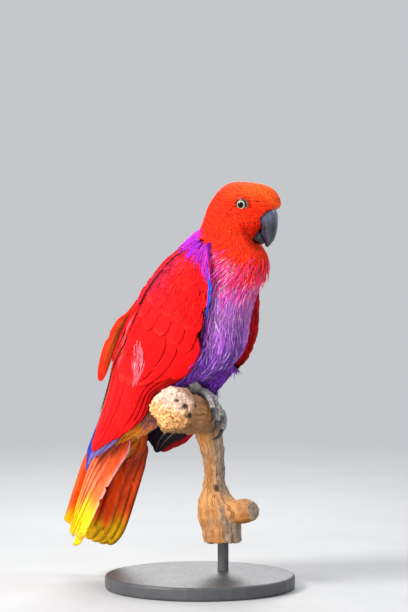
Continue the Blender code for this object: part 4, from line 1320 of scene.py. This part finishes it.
def rebuilt(names, new_name, voxel, rounds, swell=0.0):
    """A copy of CAD nodes as one fine, smoothed mesh, with its points and normals."""
    piece = copy_of(names, new_name)
    if swell:
        applied(piece, "DISPLACE", strength=swell, mid_level=0.0)
    applied(piece, "REMESH", mode="VOXEL", voxel_size=voxel, use_smooth_shade=True)
    applied(piece, "SMOOTH", factor=0.5, iterations=rounds)
    return piece, points_of(piece.data), normals_of(piece.data)


def nearest_of(points, known):
    """Which of the known points lies nearest to each point."""
    found = np.empty(len(points), int)
    for k in range(0, len(points), BATCH):
        found[k:k + BATCH] = ((points[k:k + BATCH, None] - known[None]) ** 2).sum(-1).argmin(1)
    return found


def hills(points, scale, seed):
    """Smooth made-up noise from sums of turned waves, about -1 to 1."""
    own = np.random.default_rng(seed)
    total, weight = np.zeros(len(points)), 0.0
    for octave in range(3):
        for _ in range(7):
            way = unit(own.normal(size=3)) * 2 * np.pi / scale * 2**octave * own.uniform(0.7, 1.3)
            total += 0.6**octave * np.sin(points @ way + own.uniform(0, 6.3))
        weight += 0.6**octave
    return total / (weight * 2.6)


def skin(look):
    """One closed skin in place of head, neck, trunk and thighs, lying inside them by the coat's depth."""
    nodes = ("head", "neck", "trunk", "leg_right", "leg_left")
    piece, points, normals = rebuilt(nodes, "skin", 0.0018, 6, 0.0005)
    points = points - normals * (COAT_DEPTH + 0.3)
    drawn_in = -0.45 * head_axes(points)[1] * on_bill(points)  # the face narrows under the bill's base
    put_points(piece.data, points + np.stack([-HEAD_SIN * drawn_in, HEAD_COS * drawn_in, 0 * drawn_in], -1))
    points = points_of(piece.data)
    places, angles = np.meshgrid(np.linspace(0, 16, 97), np.linspace(-np.pi, np.pi, 73)[:-1], indexing="ij")
    places, angles = places.ravel(), angles.ravel()
    nearest = nearest_of(points, body_point(places, angles))
    places, angles = places[nearest], angles[nearest]
    # The skin shows only in the gaps between feathers, so it takes the plumage colour darkened (to 0.8 on the head,
    # 0.45 elsewhere): painted shade.
    colours = body_colour(places, angles) * np.where(places > 9.5, 0.8, 0.45)[:, None]
    paint_points(piece.data, colours, np.zeros((len(points), 3)))
    piece.data.materials.append(look)
    return settle(piece, "violet_feathers", *nodes)


def wisps(roots, outward, lie, length, half, lift, rows, sway=0.0):
    """Hair-like feathers from roots anywhere, lying along a direction over a skin with known normals."""
    count = len(roots)
    length, half, lift = (np.broadcast_to(np.asarray(v, float), (count,)) for v in (length, half, lift))
    lie = unit(lie - outward * np.sum(lie * outward, -1, keepdims=True))
    side = unit(np.cross(lie, outward))
    t = np.linspace(0, 1, rows)
    tall = t[None, :, None]
    centre = roots[:, None] + lie[:, None] * (length[:, None, None] * tall)
    centre = centre + outward[:, None] * (lift[:, None, None] * np.sin(tall * 1.9) - 1.2 * (1 - tall))
    if sway:
        centre = centre + side[:, None] * (rng.normal(0, sway, (count, 1, 1)) * tall**1.6)
    a, h = WISP.T
    wide = half[:, None, None] * hairy(t)[None, :, None] * a
    points = centre[:, :, None] + side[:, None, None] * wide[..., None] + outward[:, None, None] * (h * 0.32)[:, None]
    return points, t, False


def scattered(piece, spacing, keep):
    """Evenly spread points on a mesh with its normals."""
    piece.data.calc_loop_triangles()
    tri = np.empty(len(piece.data.loop_triangles) * 3, np.int32)
    piece.data.loop_triangles.foreach_get("vertices", tri)
    corners, normals = (found(piece.data)[tri.reshape(-1, 3)] for found in (points_of, normals_of))
    good = keep(corners.mean(1))
    corners, normals = corners[good], normals[good]
    area = np.linalg.norm(np.cross(corners[:, 1] - corners[:, 0], corners[:, 2] - corners[:, 0]), axis=-1) / 2
    count = int(area.sum() / spacing**2)
    pick = rng.choice(len(area), count, p=area / area.sum())
    u, v = rng.random((2, count, 1))
    turn = u + v > 1
    u, v = np.where(turn, 1 - u, u), np.where(turn, 1 - v, v)
    roots = corners[pick, 0] * (1 - u - v) + corners[pick, 1] * u + corners[pick, 2] * v
    return roots, unit(normals[pick].mean(1))


# Where each thigh starts and ends, right and left.
THIGHS = (((4.0, -22.0, 219.0), (1.0, -15.0, 196.0)), ((6.0, 22.0, 213.0), (-1.0, 14.0, 183.0)))


def dress_thighs(skin_piece, look):
    """Loose violet feathers down each thigh, hanging over the foot."""
    coat = Coat("coat_thighs")
    for hip, ankle in THIGHS:
        hip, ankle = np.array(hip), np.array(ankle)

        def near(points):
            way = ankle - hip
            share = np.clip((points - hip) @ way / (way @ way), 0, 1)
            return (np.linalg.norm(points - hip - share[:, None] * way, axis=-1) < 21) & (points[:, 2] < hip[2] + 6)

        for spacing, long, half in ((2.4, 9.0, 1.9), (1.7, 9.5, 0.8)):
            roots, outward = scattered(skin_piece, spacing, near)
            count = len(roots)
            lie = unit(ankle - hip + np.array((-6.0, 0, 0))) + rng.normal(0, 0.06, roots.shape)
            length = rng.uniform(0.75, 1.2, count) * long
            made = wisps(roots, outward, lie, length, half * rng.uniform(0.7, 1.3, count),
                         rng.uniform(0.2, 1.0, count), 7, sway=0.5)
            base = mix(BELLY_VIOLET, DEEP_VIOLET, rng.random(count))
            base = mix(base, LAVENDER, (rng.random(count) < 0.2) * rng.uniform(0.2, 0.7, count))
            base = mix(base, COLLAR_PURPLE, rng.random(count) * 0.4)
            uv = (0.05 + 0.9 * ((roots[:, 0] + 30) / 70) % 1.0, 0.05 + 0.9 * np.clip((roots[:, 2] - 150) / 90, 0, 1))
            coat.add(made, WISP, half, length, shaded(base, made[1], 0.35, 1.25, 0.15), uv)
    coat.build(look, "violet_feathers")


def eye_frame(side):
    """An eye's middle, and the directions out of it, across it and up it."""
    axis = np.array((-HEAD_SIN * side, HEAD_COS * side, 0.0))
    across = unit(np.cross((0, 0, 1.0), axis))
    return eye_middle(side), axis, across, np.cross(axis, across)


def sphere(name, segments, rings, radius):
    bpy.ops.object.select_all(action="DESELECT")
    bpy.ops.mesh.primitive_uv_sphere_add(segments=segments, ring_count=rings, radius=radius * MM, location=(0, 0, 0))
    piece = bpy.context.active_object
    piece.name = piece.data.name = name
    return piece


def finish_ball(piece, points, look):
    put_points(piece.data, points)
    piece.data.shade_smooth()
    piece.data.materials.append(look)


def dome(side, radius, look):
    """An eyeball with its pole turned outwards and a slight bulge over the iris."""
    middle, axis, across, up = eye_frame(side)
    ball = sphere(f"eye_{SIDES[side]}_ball", 64, 40, radius)
    local = vectors_of(ball.data.vertices, "co") / MM
    local = local * (1 + 0.045 * step(0.55, 0.95, local[:, 2] / radius))[:, None]
    finish_ball(ball, middle + local[:, :1] * across + local[:, 1:2] * up + local[:, 2:] * axis, look)
    settle(ball, "eye", "eye_right" if side < 0 else "eye_left")


# Colours of the eye from its pole outwards, by the angle from the pole in radians.
EYE_RINGS = (
    (0.0, (0.001, 0.001, 0.003)),
    (0.54, (0.001, 0.001, 0.003)),
    (0.57, (0.08, 0.06, 0.02)),
    (0.60, (0.50, 0.50, 0.20)),
    (0.67, (0.74, 0.76, 0.38)),
    (0.74, (0.40, 0.54, 0.44)),
    (0.79, (0.02, 0.04, 0.038)),
    (0.95, (0.006, 0.009, 0.009)),
)


def eye_look(side):
    """Black pupil, pale iris with fine spokes, dark rim: rings about the eye's own axis."""
    look, tree, body = shader(f"eye_{SIDES[side]}_wet", 0.06)
    middle, axis = eye_frame(side)[:2]
    off = node(tree, "ShaderNodeVectorMath", operation="SUBTRACT", in_0=object_place(tree), in_1=metres(middle))
    way = node(tree, "ShaderNodeVectorMath", operation="NORMALIZE", in_0=off.outputs[0]).outputs[0]
    facing = node(tree, "ShaderNodeVectorMath", operation="DOT_PRODUCT", in_0=way, in_1=axis)
    out = maths(tree, "ARCCOSINE", maths(tree, "MINIMUM", facing.outputs["Value"], 0.99999))
    spokes = noise(tree, way, 4.0, scale=9.0)
    uneven = maths(tree, "ADD", out, maths(tree, "MULTIPLY", maths(tree, "SUBTRACT", spokes, 0.5), 0.05))
    ramp = node(tree, "ShaderNodeValToRGB", in_0=uneven)
    while len(ramp.color_ramp.elements) < len(EYE_RINGS):
        ramp.color_ramp.elements.new(0.5)
    for element, (at, colour) in zip(ramp.color_ramp.elements, EYE_RINGS):
        element.position = at
        element.color = (*colour, 1.0)
    fleck = blend_colours(tree, remap(tree, spokes, 0.35, 0.7, 0.0, 0.35), ramp.outputs[0], (0.30, 0.16, 0.05),
                          "MULTIPLY")
    feed(tree, body, Base_Color=fleck, Specular_IOR_Level=0.15, Coat_Weight=0.25, Coat_Roughness=0.02)
    return look


def lids(side, look):
    """The bare beaded rim round an eye."""
    middle, axis, across, up = eye_frame(side)
    bm = bmesh.new()
    around, tube_points = 72, 10
    rings = []
    for k in range(around):
        a = 2 * math.pi * k / around
        way = across * math.cos(a) + up * math.sin(a)
        squeeze = 1.0 - 0.19 * abs(math.cos(a))
        thick = 0.42 * (1 + 0.16 * math.cos(k * math.pi))
        centre = middle + way * 4.4 * squeeze + axis * 3.0
        rings.append([
            bm.verts.new(metres(centre + (way * math.cos(b) + axis * math.sin(b)) * thick))
            for b in np.linspace(0, 2 * math.pi, tube_points, endpoint=False)
        ])
    for k in range(around):
        for j in range(tube_points):
            a, b = rings[k], rings[(k + 1) % around]
            n = (j + 1) % tube_points
            bm.faces.new((a[j], b[j], b[n], a[n]))
    mesh = smooth_mesh(bm, f"eye_{SIDES[side]}_rim")
    mesh.materials.append(look)
    settle(linked(mesh), "grey_skin")


def dress_eyes(look):
    """Tiny blue-green feathers standing in rings about each eye."""
    coat = Coat("coat_eye_rings")
    head_back = np.array((-HEAD_COS, -HEAD_SIN, -0.25))
    for side in SIDES:
        middle, axis, across, up = eye_frame(side)
        for ring, (radius, out, count) in enumerate(((4.5, 2.7, 64), (5.1, 2.4, 72), (5.8, 1.9, 80))):
            a = np.linspace(0, 2 * np.pi, count, endpoint=False) + rng.normal(0, 0.03, count) + 0.04 * ring
            way = across * np.cos(a)[:, None] + up * np.sin(a)[:, None]
            blue = mix((0.10, 0.20, 0.17), (0.03, 0.07, 0.07), rng.random(count))
            blue = mix(blue, HEAD_RED, np.clip(rng.uniform(-0.1, 0.5, count) + 0.45 * ring, 0, 1))
            made = wisps(middle + way * radius + axis * out, unit(axis + way * 0.25), way + 0.6 * head_back,
                         rng.uniform(1.6, 2.3, count), 0.34, 0.12, 5)
            coat.add(made, WISP, 0.36, 2.4, shaded(blue, made[1], 0.7, 1.2, 0.12),
                     (0.25 + 0.5 * (side > 0) + 0.1 * np.cos(a), 0.5 + (0.2 + 0.1 * ring) * np.sin(a)))
    coat.build(look, "eye")


# Bill, feet, perch and stand


def horn(name, low, high, gloss, scale=1.0):
    """Grown horn: dark with a grey bloom, fine lines of growth, scuffs and a soft gloss."""
    look, tree, body = shader(name, 0.34)
    tone = use_group(tree, UNEVEN, Scale=110.0 * scale)
    drawn = node(tree, "ShaderNodeMapping", in_Vector=object_place(tree), in_Rotation=(0.0, 0.5, 0.25),
                 in_Scale=(160.0 * scale, 160.0 * scale, 900.0 * scale))
    lines = maths(tree, "MULTIPLY", noise(tree, drawn.outputs[0], 4.0, 0.6), 0.35)
    whole = maths(tree, "ADD", maths(tree, "MULTIPLY", tone["Broad"], 0.65), lines)
    colour = toned(tree, whole, 0.36, 0.68, low, high)
    bump(tree, body, whole, 0.25, 0.0003)
    feed(tree, body, Base_Color=colour, Roughness=remap(tree, tone["Fine"], 0.3, 0.7, 0.28, 0.48), Coat_Weight=gloss,
         Coat_Roughness=0.12)
    return look, tree, body, colour


def bill_look():
    """The bill: black horn with a grey bloom, paler along the top ridge, high up and at the base: a painted highlight.
    """
    look, tree, body, colour = horn("bill_black_horn", (0.003, 0.004, 0.008), (0.020, 0.024, 0.046), 1.0)
    paler = blend_colours(tree, stored(tree, "pale", "Fac"), colour, (0.19, 0.215, 0.34))
    feed(tree, body, Base_Color=paler, Specular_IOR_Level=0.4)
    return look


def build_bill(upper_look, lower_look):
    for name, look in (("bill_upper", upper_look), ("bill_lower", lower_look)):
        piece, points, normals = rebuilt((name,), name + "_horn", 0.0006, 8)
        points = points + normals * 0.12
        ridge = np.sin(points @ unit(np.array((0.5, 0.13, 0.86))) * 2 * np.pi / 2.3 + 1.2 * hills(points, 14, 5))
        points = points + normals * (0.05 * ridge + 0.10 * hills(points, 9, 6) + 0.05 * hills(points, 2.4, 7))[:, None]
        put_points(piece.data, points)
        forward, aside = head_axes(points)
        facing = normals[:, 2] * 0.7 + (normals[:, 0] * HEAD_COS + normals[:, 1] * HEAD_SIN) * 0.7
        # pale: painted highlight, strongest where the upper bill faces up along its ridge, high up and at its base; a
        # little near the lower bill's base.
        if name == "bill_upper":
            pale = 0.55 * step(5.0, 0.0, np.abs(aside)) * step(0.3, 0.95, facing) + 0.5 * step(37.5, 32.0, forward)
            pale = pale * step(322, 334, points[:, 2]) + 0.36 * step(333, 347, points[:, 2])
            pale = pale * (0.7 + 0.3 * hills(points, 5, 8))
        else:
            pale = 0.10 * step(29.0, 24.0, forward) * (0.7 + 0.3 * hills(points, 5, 9))
        store(piece.data, "pale", "FLOAT", "value", np.clip(pale, 0, 1))
        piece.data.shade_smooth()
        piece.data.materials.append(look)
        settle(piece, "black_bill", name)


def build_mouth(look):
    """The dark tongue that fills the gape between the halves of the bill."""
    piece = sphere("bill_tongue", 32, 20, 4.2)
    points = (points_of(piece.data) - (0, 0, BELOW)) * (1.25, 0.95, 0.95)
    points[:, 0] += 32.0
    x, y, z = points.T
    points = np.stack([PIVOT_X + x * HEAD_COS - y * HEAD_SIN, x * HEAD_SIN + y * HEAD_COS, z + 329.0], -1)
    finish_ball(piece, points, look)
    settle(piece, "black_bill")


def foot_look():
    """Grey scaly skin: paler flat scales parted by darker lines."""
    look, tree, body = shader("foot_scaly_skin", 0.58)
    tone = use_group(tree, UNEVEN, Scale=140.0)
    place = node(tree, "ShaderNodeMapping", in_Vector=object_place(tree), in_Scale=(620.0, 620.0, 620.0)).outputs[0]
    gap = node(tree, "ShaderNodeTexVoronoi", feature="DISTANCE_TO_EDGE", in_Vector=place, in_Scale=1.0,
               in_Randomness=0.75)
    cell = node(tree, "ShaderNodeTexVoronoi", in_Vector=place, in_Scale=1.0, in_Randomness=0.75)
    parted = remap(tree, gap.outputs["Distance"], 0.02, 0.16)
    base = toned(tree, tone["Broad"], 0.35, 0.65, (0.30, 0.285, 0.285), (0.62, 0.60, 0.58))
    lit = blend_colours(tree, 0.28, base, cell.outputs["Color"], "SOFT_LIGHT")
    bump(tree, body, parted, 0.8, 0.0005)
    feed(tree, body, Base_Color=blend_colours(tree, parted, (0.10, 0.09, 0.095), lit),
         Roughness=remap(tree, parted, 0.0, 1.0, 0.8, 0.5))
    return look


def build_feet(foot_material, claw_material):
    for side in SIDES.values():
        piece, points, normals = rebuilt((f"foot_{side}",), f"foot_{side}_scaly", 0.0006, 5)
        lumps = 0.15 + 0.28 * hills(points, 5.5, 21) + 0.14 * hills(points, 2.2, 22)
        put_points(piece.data, points + normals * lumps[:, None])
        piece.data.materials.append(foot_material)
        settle(piece, "grey_skin", f"foot_{side}")
        for toe in ("front_inner", "front_outer", "back_inner", "back_outer"):
            node_name = f"claw_{side}_{toe}"
            piece, points, normals = rebuilt((node_name,), node_name + "_horn", 0.00035, 6)
            put_points(piece.data, points + normals * (0.12 + 0.05 * hills(points, 3.0, 31))[:, None])
            piece.data.materials.append(claw_material)
            settle(piece, "black_bill", node_name)


def wood_look():
    """Weathered bare wood: orange-tan to grey, with cracked grain, a pale broken face, and painted shade that darkens
    pits and faces that look down.
    """
    look, tree, body = shader("perch_weathered_wood", 0.78)
    grain = stored(tree, "grain")
    grey_share, broken_share, painted_shade_share = node(tree, "ShaderNodeSeparateXYZ", in_0=stored(tree, "marks")).outputs
    tone = use_group(tree, UNEVEN, Scale=45.0)
    broad, fine = tone["Broad"], tone["Fine"]
    long_grain = noise(tree, grain, 6.0, 0.68)
    crack = node(tree, "ShaderNodeTexVoronoi", feature="DISTANCE_TO_EDGE", in_Vector=grain, in_Scale=0.55,
                 in_Randomness=1.0)
    cracked = maths(tree, "MULTIPLY", remap(tree, crack.outputs["Distance"], 0.0, 0.06, 1.0, 0.0),
                    remap(tree, broad, 0.46, 0.56))
    warm = toned(tree, broad, 0.35, 0.62, (0.30, 0.115, 0.030), (0.46, 0.215, 0.075))
    grey = toned(tree, fine, 0.3, 0.7, (0.22, 0.155, 0.105), (0.38, 0.29, 0.21))
    bark = blend_colours(tree, grey_share, warm, grey)
    streaky = blend_colours(tree, remap(tree, long_grain, 0.32, 0.68, 0.0, 0.8), bark, (0.20, 0.09, 0.04), "MULTIPLY")
    bark = blend_colours(tree, remap(tree, long_grain, 0.5, 0.62, 0.0, 0.55), bark, streaky)
    broken_wood = toned(tree, fine, 0.36, 0.62, (0.36, 0.13, 0.035), (0.78, 0.44, 0.18))
    smooth_wood = toned(tree, fine, 0.32, 0.66, (0.42, 0.25, 0.18), (0.66, 0.48, 0.39))
    face = blend_colours(tree, stored(tree, "upper", "Fac"), broken_wood, smooth_wood)
    whole = blend_colours(tree, broken_share, bark, face)
    # The third mark is painted shade: it darkens pits and faces that look down near the broken end.
    whole = blend_colours(tree, painted_shade_share, whole, (0.055, 0.028, 0.014))
    whole = blend_colours(tree, maths(tree, "MULTIPLY", cracked, 0.6), whole, (0.05, 0.025, 0.013))
    height = maths(tree, "ADD", long_grain, maths(tree, "MULTIPLY", fine, 0.5))
    bump(tree, body, maths(tree, "SUBTRACT", height, cracked), 0.75, 0.0009)
    feed(tree, body, Base_Color=whole, Roughness=remap(tree, long_grain, 0.3, 0.7, 0.66, 0.9), Specular_IOR_Level=0.3)
    return look


# Holes and hollows in the wood, sunk in and darkened with painted shade: (x, y, z, size, depth).
PITS = ((19, -51, 177, 4.2, 2.6), (21, -47, 169, 4.6, 3.0), (13, -54, 182, 2.6, 1.8), (7, -56, 184, 2.2, 1.4),
        (23, -38, 177, 3.0, 1.6), (8, 12, 120, 4.5, 1.4), (3, 22, 96, 4.0, 1.2))


def build_perch(look):
    piece, points, normals = rebuilt(("perch_branch",), "perch_wood", 0.0011, 4)
    line = between(BRANCH, np.linspace(0, len(BRANCH) - 1, 261))
    run = np.concatenate([[0], np.cumsum(np.linalg.norm(np.diff(line, axis=0), axis=-1))])
    nearest = nearest_of(points, line)
    along = unit(np.gradient(line, axis=0))[nearest]
    off = points - line[nearest]
    travel = run[nearest] + np.sum(off * along, -1)
    first = unit(np.cross(along, (0.94, 0.1, 0.3)))
    second = np.cross(along, first)
    angle = np.arctan2(np.sum(off * first, -1), np.sum(off * second, -1))
    radius = np.linalg.norm(off, axis=-1)
    ropes = np.sin(6 * angle + 0.05 * travel + 2.2 * hills(points, 40, 41))
    ropes = ropes + 0.6 * np.sin(11 * angle - 0.03 * travel + 3 * hills(points, 22, 42))
    cap = step(-0.35, 0.5, -np.sum(normals * along, -1)) * step(24, 8, travel)  # the broken face at the near end
    bumps = 0.45 * ropes * (1 - cap) + 0.9 * hills(points, 16, 43) + 0.35 * hills(points, 5, 44)
    upper = step(173, 182, points[:, 2] + 0.35 * points[:, 0] + 4 * hills(points, 12, 53))
    crumbs = 2.2 * np.abs(hills(points, 6, 46)) + 0.8 * hills(points, 2.6, 52)
    bumps = bumps + cap * (2.2 * hills(points, 17, 45) + (1 - 0.7 * upper) * crumbs - 1.2)
    bumps = bumps + cap * 4.5 * np.clip(1 - (radius / 21) ** 2, 0, 1)
    pits = np.zeros(len(points))
    for x, y, z, size, deep in PITS:
        gap = np.linalg.norm(points - (x, y, z), axis=-1) / size * (1 + 0.35 * hills(points, 7, 47))
        pit = np.exp(-gap**2)
        bumps = bumps - deep * pit
        pits = np.maximum(pits, step(0.25, 0.8, pit))
    put_points(piece.data, points + normals * (bumps * 0.8 - 0.2)[:, None])
    grain = np.stack([np.cos(angle) * 5.0, np.sin(angle) * 5.0, travel * 0.028], -1)
    grain = grain + 0.3 * np.stack([hills(points, 22, s) for s in (48, 49, 50)], -1)
    grain = grain * (1 - cap[:, None]) + points * 0.20 * cap[:, None]
    grey = step(0.35, 0.95, normals[:, 0]) * step(60, 100, travel) + 0.35 * np.clip(hills(points, 24, 51), 0, 1)
    low = step(0.1, -0.7, normals[:, 2])
    # Faces that look up take a little of the paler broken-wood colour, painted light from above; faces that look down
    # take less, painted shade.
    broken = np.clip(cap * 0.95 + 0.25 * step(0.2, 0.9, normals[:, 2]), 0, 1) * (1 - 0.6 * low)
    # Pits and the downward faces near the broken end are darkened: painted shade.
    dark = np.clip(pits + 0.35 * low * step(40, 20, travel), 0, 1)
    store(piece.data, "upper", "FLOAT", "value", upper)
    store(piece.data, "grain", "FLOAT_VECTOR", "vector", grain)
    store(piece.data, "marks", "FLOAT_VECTOR", "vector", np.stack([np.clip(grey, 0, 1), broken, dark], -1))
    piece.data.materials.append(look)
    settle(piece, "wood", "perch_branch")


def painted_metal():
    """Satin charcoal paint on the stand, with a fine orange-peel and faint dust."""
    look, tree, body = shader("stand_satin_paint", 0.42)
    tone = use_group(tree, UNEVEN, Scale=35.0)
    bump(tree, body, use_group(tree, UNEVEN, Scale=160.0)["Fine"], 0.12, 0.0002)
    feed(tree, body, Base_Color=toned(tree, tone["Broad"], 0.3, 0.7, (0.045, 0.046, 0.05), (0.062, 0.063, 0.067)),
         Roughness=remap(tree, tone["Fine"], 0.3, 0.7, 0.38, 0.52))
    return look


def finish_stand(look):
    for name in ("stand_base", "stand_rod"):
        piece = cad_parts[name]
        piece.data.materials.clear()
        piece.data.materials.append(look)


# Floor, light and camera


FLOOR_DROP = 0.0002  # how far the floor lies below the stand, in metres
# The picture is 612 pixels high, and a pixel stands for this many metres in the bird's plane.
PIXEL, PICTURE_HEIGHT = 0.0009, 612
SENSOR = 36.0


def lamp(name, place, aim, size, power, colour=(1, 1, 1), mirrored=True):
    light = bpy.data.lights.new(name, "AREA")
    light.shape = "DISK"
    light.size = size
    light.energy = power
    light.color = colour
    holder = bpy.data.objects.new(name, light)
    holder.location = place
    holder.visible_glossy = mirrored
    holder.rotation_euler = (Vector(aim) - Vector(place)).to_track_quat("-Z", "Y").to_euler()
    bpy.context.scene.collection.objects.link(holder)


def studio():
    bpy.ops.object.select_all(action="DESELECT")
    bpy.ops.mesh.primitive_grid_add(x_subdivisions=40, y_subdivisions=40, size=3.0, location=(0, 0, 0))
    floor = bpy.context.active_object
    floor.name = floor.data.name = "studio_floor"
    points = vectors_of(floor.data.vertices, "co")
    points[:, 2] = -FLOOR_DROP
    floor.data.vertices.foreach_set("co", points.astype(np.float32).ravel())
    look, tree, body = shader("studio_floor_pale", 0.75)
    tone = use_group(tree, UNEVEN, Scale=6.0)
    reach = node(tree, "ShaderNodeVectorMath", operation="LENGTH", in_0=object_place(tree))
    feed(tree, body, Base_Color=toned(tree, tone["Broad"], 0.3, 0.7, (0.40, 0.405, 0.41), (0.43, 0.435, 0.44)),
         Alpha=remap(tree, reach.outputs["Value"], 0.45, 1.45, 1.0, 0.0))
    floor.data.materials.append(look)

    world = bpy.data.worlds.new("studio_world")
    bpy.context.scene.world = world
    world.use_nodes = True
    world.node_tree.nodes["Background"].inputs[0].default_value = (0.80, 0.82, 0.85, 1.0)
    world.node_tree.nodes["Background"].inputs[1].default_value = 0.70

    lamp("key_light", (-0.55, -1.15, 1.25), (0, 0, 0.24), 0.6, 34.0, (1.0, 0.985, 0.96))
    lamp("fill_light", (1.5, -1.2, 0.55), (0, 0, 0.22), 1.2, 5.0, (0.95, 0.97, 1.0))
    lamp("top_light", (-0.15, 0.25, 1.45), (0.05, 0, 0.3), 0.35, 5.0)
    lamp("side_light", (0.8, 0.6, 1.0), (0.05, 0, 0.33), 0.3, 3.5)
    lamp("rim_light", (-0.9, 1.2, 0.95), (0, 0, 0.25), 0.8, 12.0)
    lamp("low_light", (0.0, -1.35, 0.12), (-0.05, 0, 0.15), 0.7, 21.0, (1.0, 0.99, 0.97), False)

    azimuth, elevation, far = math.radians(35), math.radians(3), 2.6
    aim = Vector((0.0036 * 0.819, 0.0036 * 0.574, 0.2548))
    level = math.cos(elevation)
    way = Vector((math.sin(azimuth) * level, -math.cos(azimuth) * level, math.sin(elevation)))
    camera = bpy.data.cameras.new("studio_camera")
    camera.sensor_fit = "VERTICAL"
    camera.sensor_height = SENSOR
    camera.lens = SENSOR * far / (PICTURE_HEIGHT * PIXEL)
    holder = bpy.data.objects.new("studio_camera", camera)
    holder.location = aim + way * far
    holder.rotation_euler = (-way).to_track_quat("-Z", "Y").to_euler()
    bpy.context.scene.collection.objects.link(holder)
    bpy.context.scene.camera = holder
    bpy.context.scene.view_settings.view_transform = "Standard"


looks = {
    "head": plumage("head_fine_feathers", 0.6, 0.04, 2.2, 0.16, 0.12, tint=(1.0, 0.5, 0.3)),
    "body": plumage("body_hairy_feathers", 0.6, 0.12, 1.8, 0.26, 0.2, tint=(0.95, 0.7, 1.0)),
    "wing": plumage("wing_small_feathers", 0.52, 0.02, 1.3, 0.18, 0.22, tint=(1.0, 0.5, 0.45)),
    "vane": plumage("wing_and_tail_vanes", 0.46, 0.02, 1.2, 0.24, 0.28, gloss=0.02, tint=(1.0, 0.6, 0.5)),
    "skin": plumage("skin_under_feathers", 0.7, 0.1, 1.0, 0.2, 0.1),
}
skin_piece = skin(looks["skin"])
dress_body(looks)
dress_thighs(skin_piece, looks["body"])
for side in SIDES:
    dress_wing(side, looks)
    wing_bed(side, looks["skin"])
dress_tail(looks)
dress_shoulder(looks)
claw_horn = horn("claw_black_horn", (0.005, 0.005, 0.006), (0.04, 0.04, 0.045), 0.4, 1.6)[0]
for side in SIDES:
    dome(side, EYE_RADIUS - 0.35, eye_look(side))
rim_look = horn("eye_rim_skin", (0.02, 0.024, 0.030), (0.07, 0.085, 0.10), 0.1, 2.0)[0]
for side in SIDES:
    lids(side, rim_look)
dress_eyes(looks["head"])
build_bill(bill_look(), horn("bill_shaded_horn", (0.001, 0.001, 0.002), (0.006, 0.007, 0.012), 0.15)[0])
build_mouth(claw_horn)
build_feet(foot_look(), claw_horn)
build_perch(wood_look())
finish_stand(painted_metal())
studio()
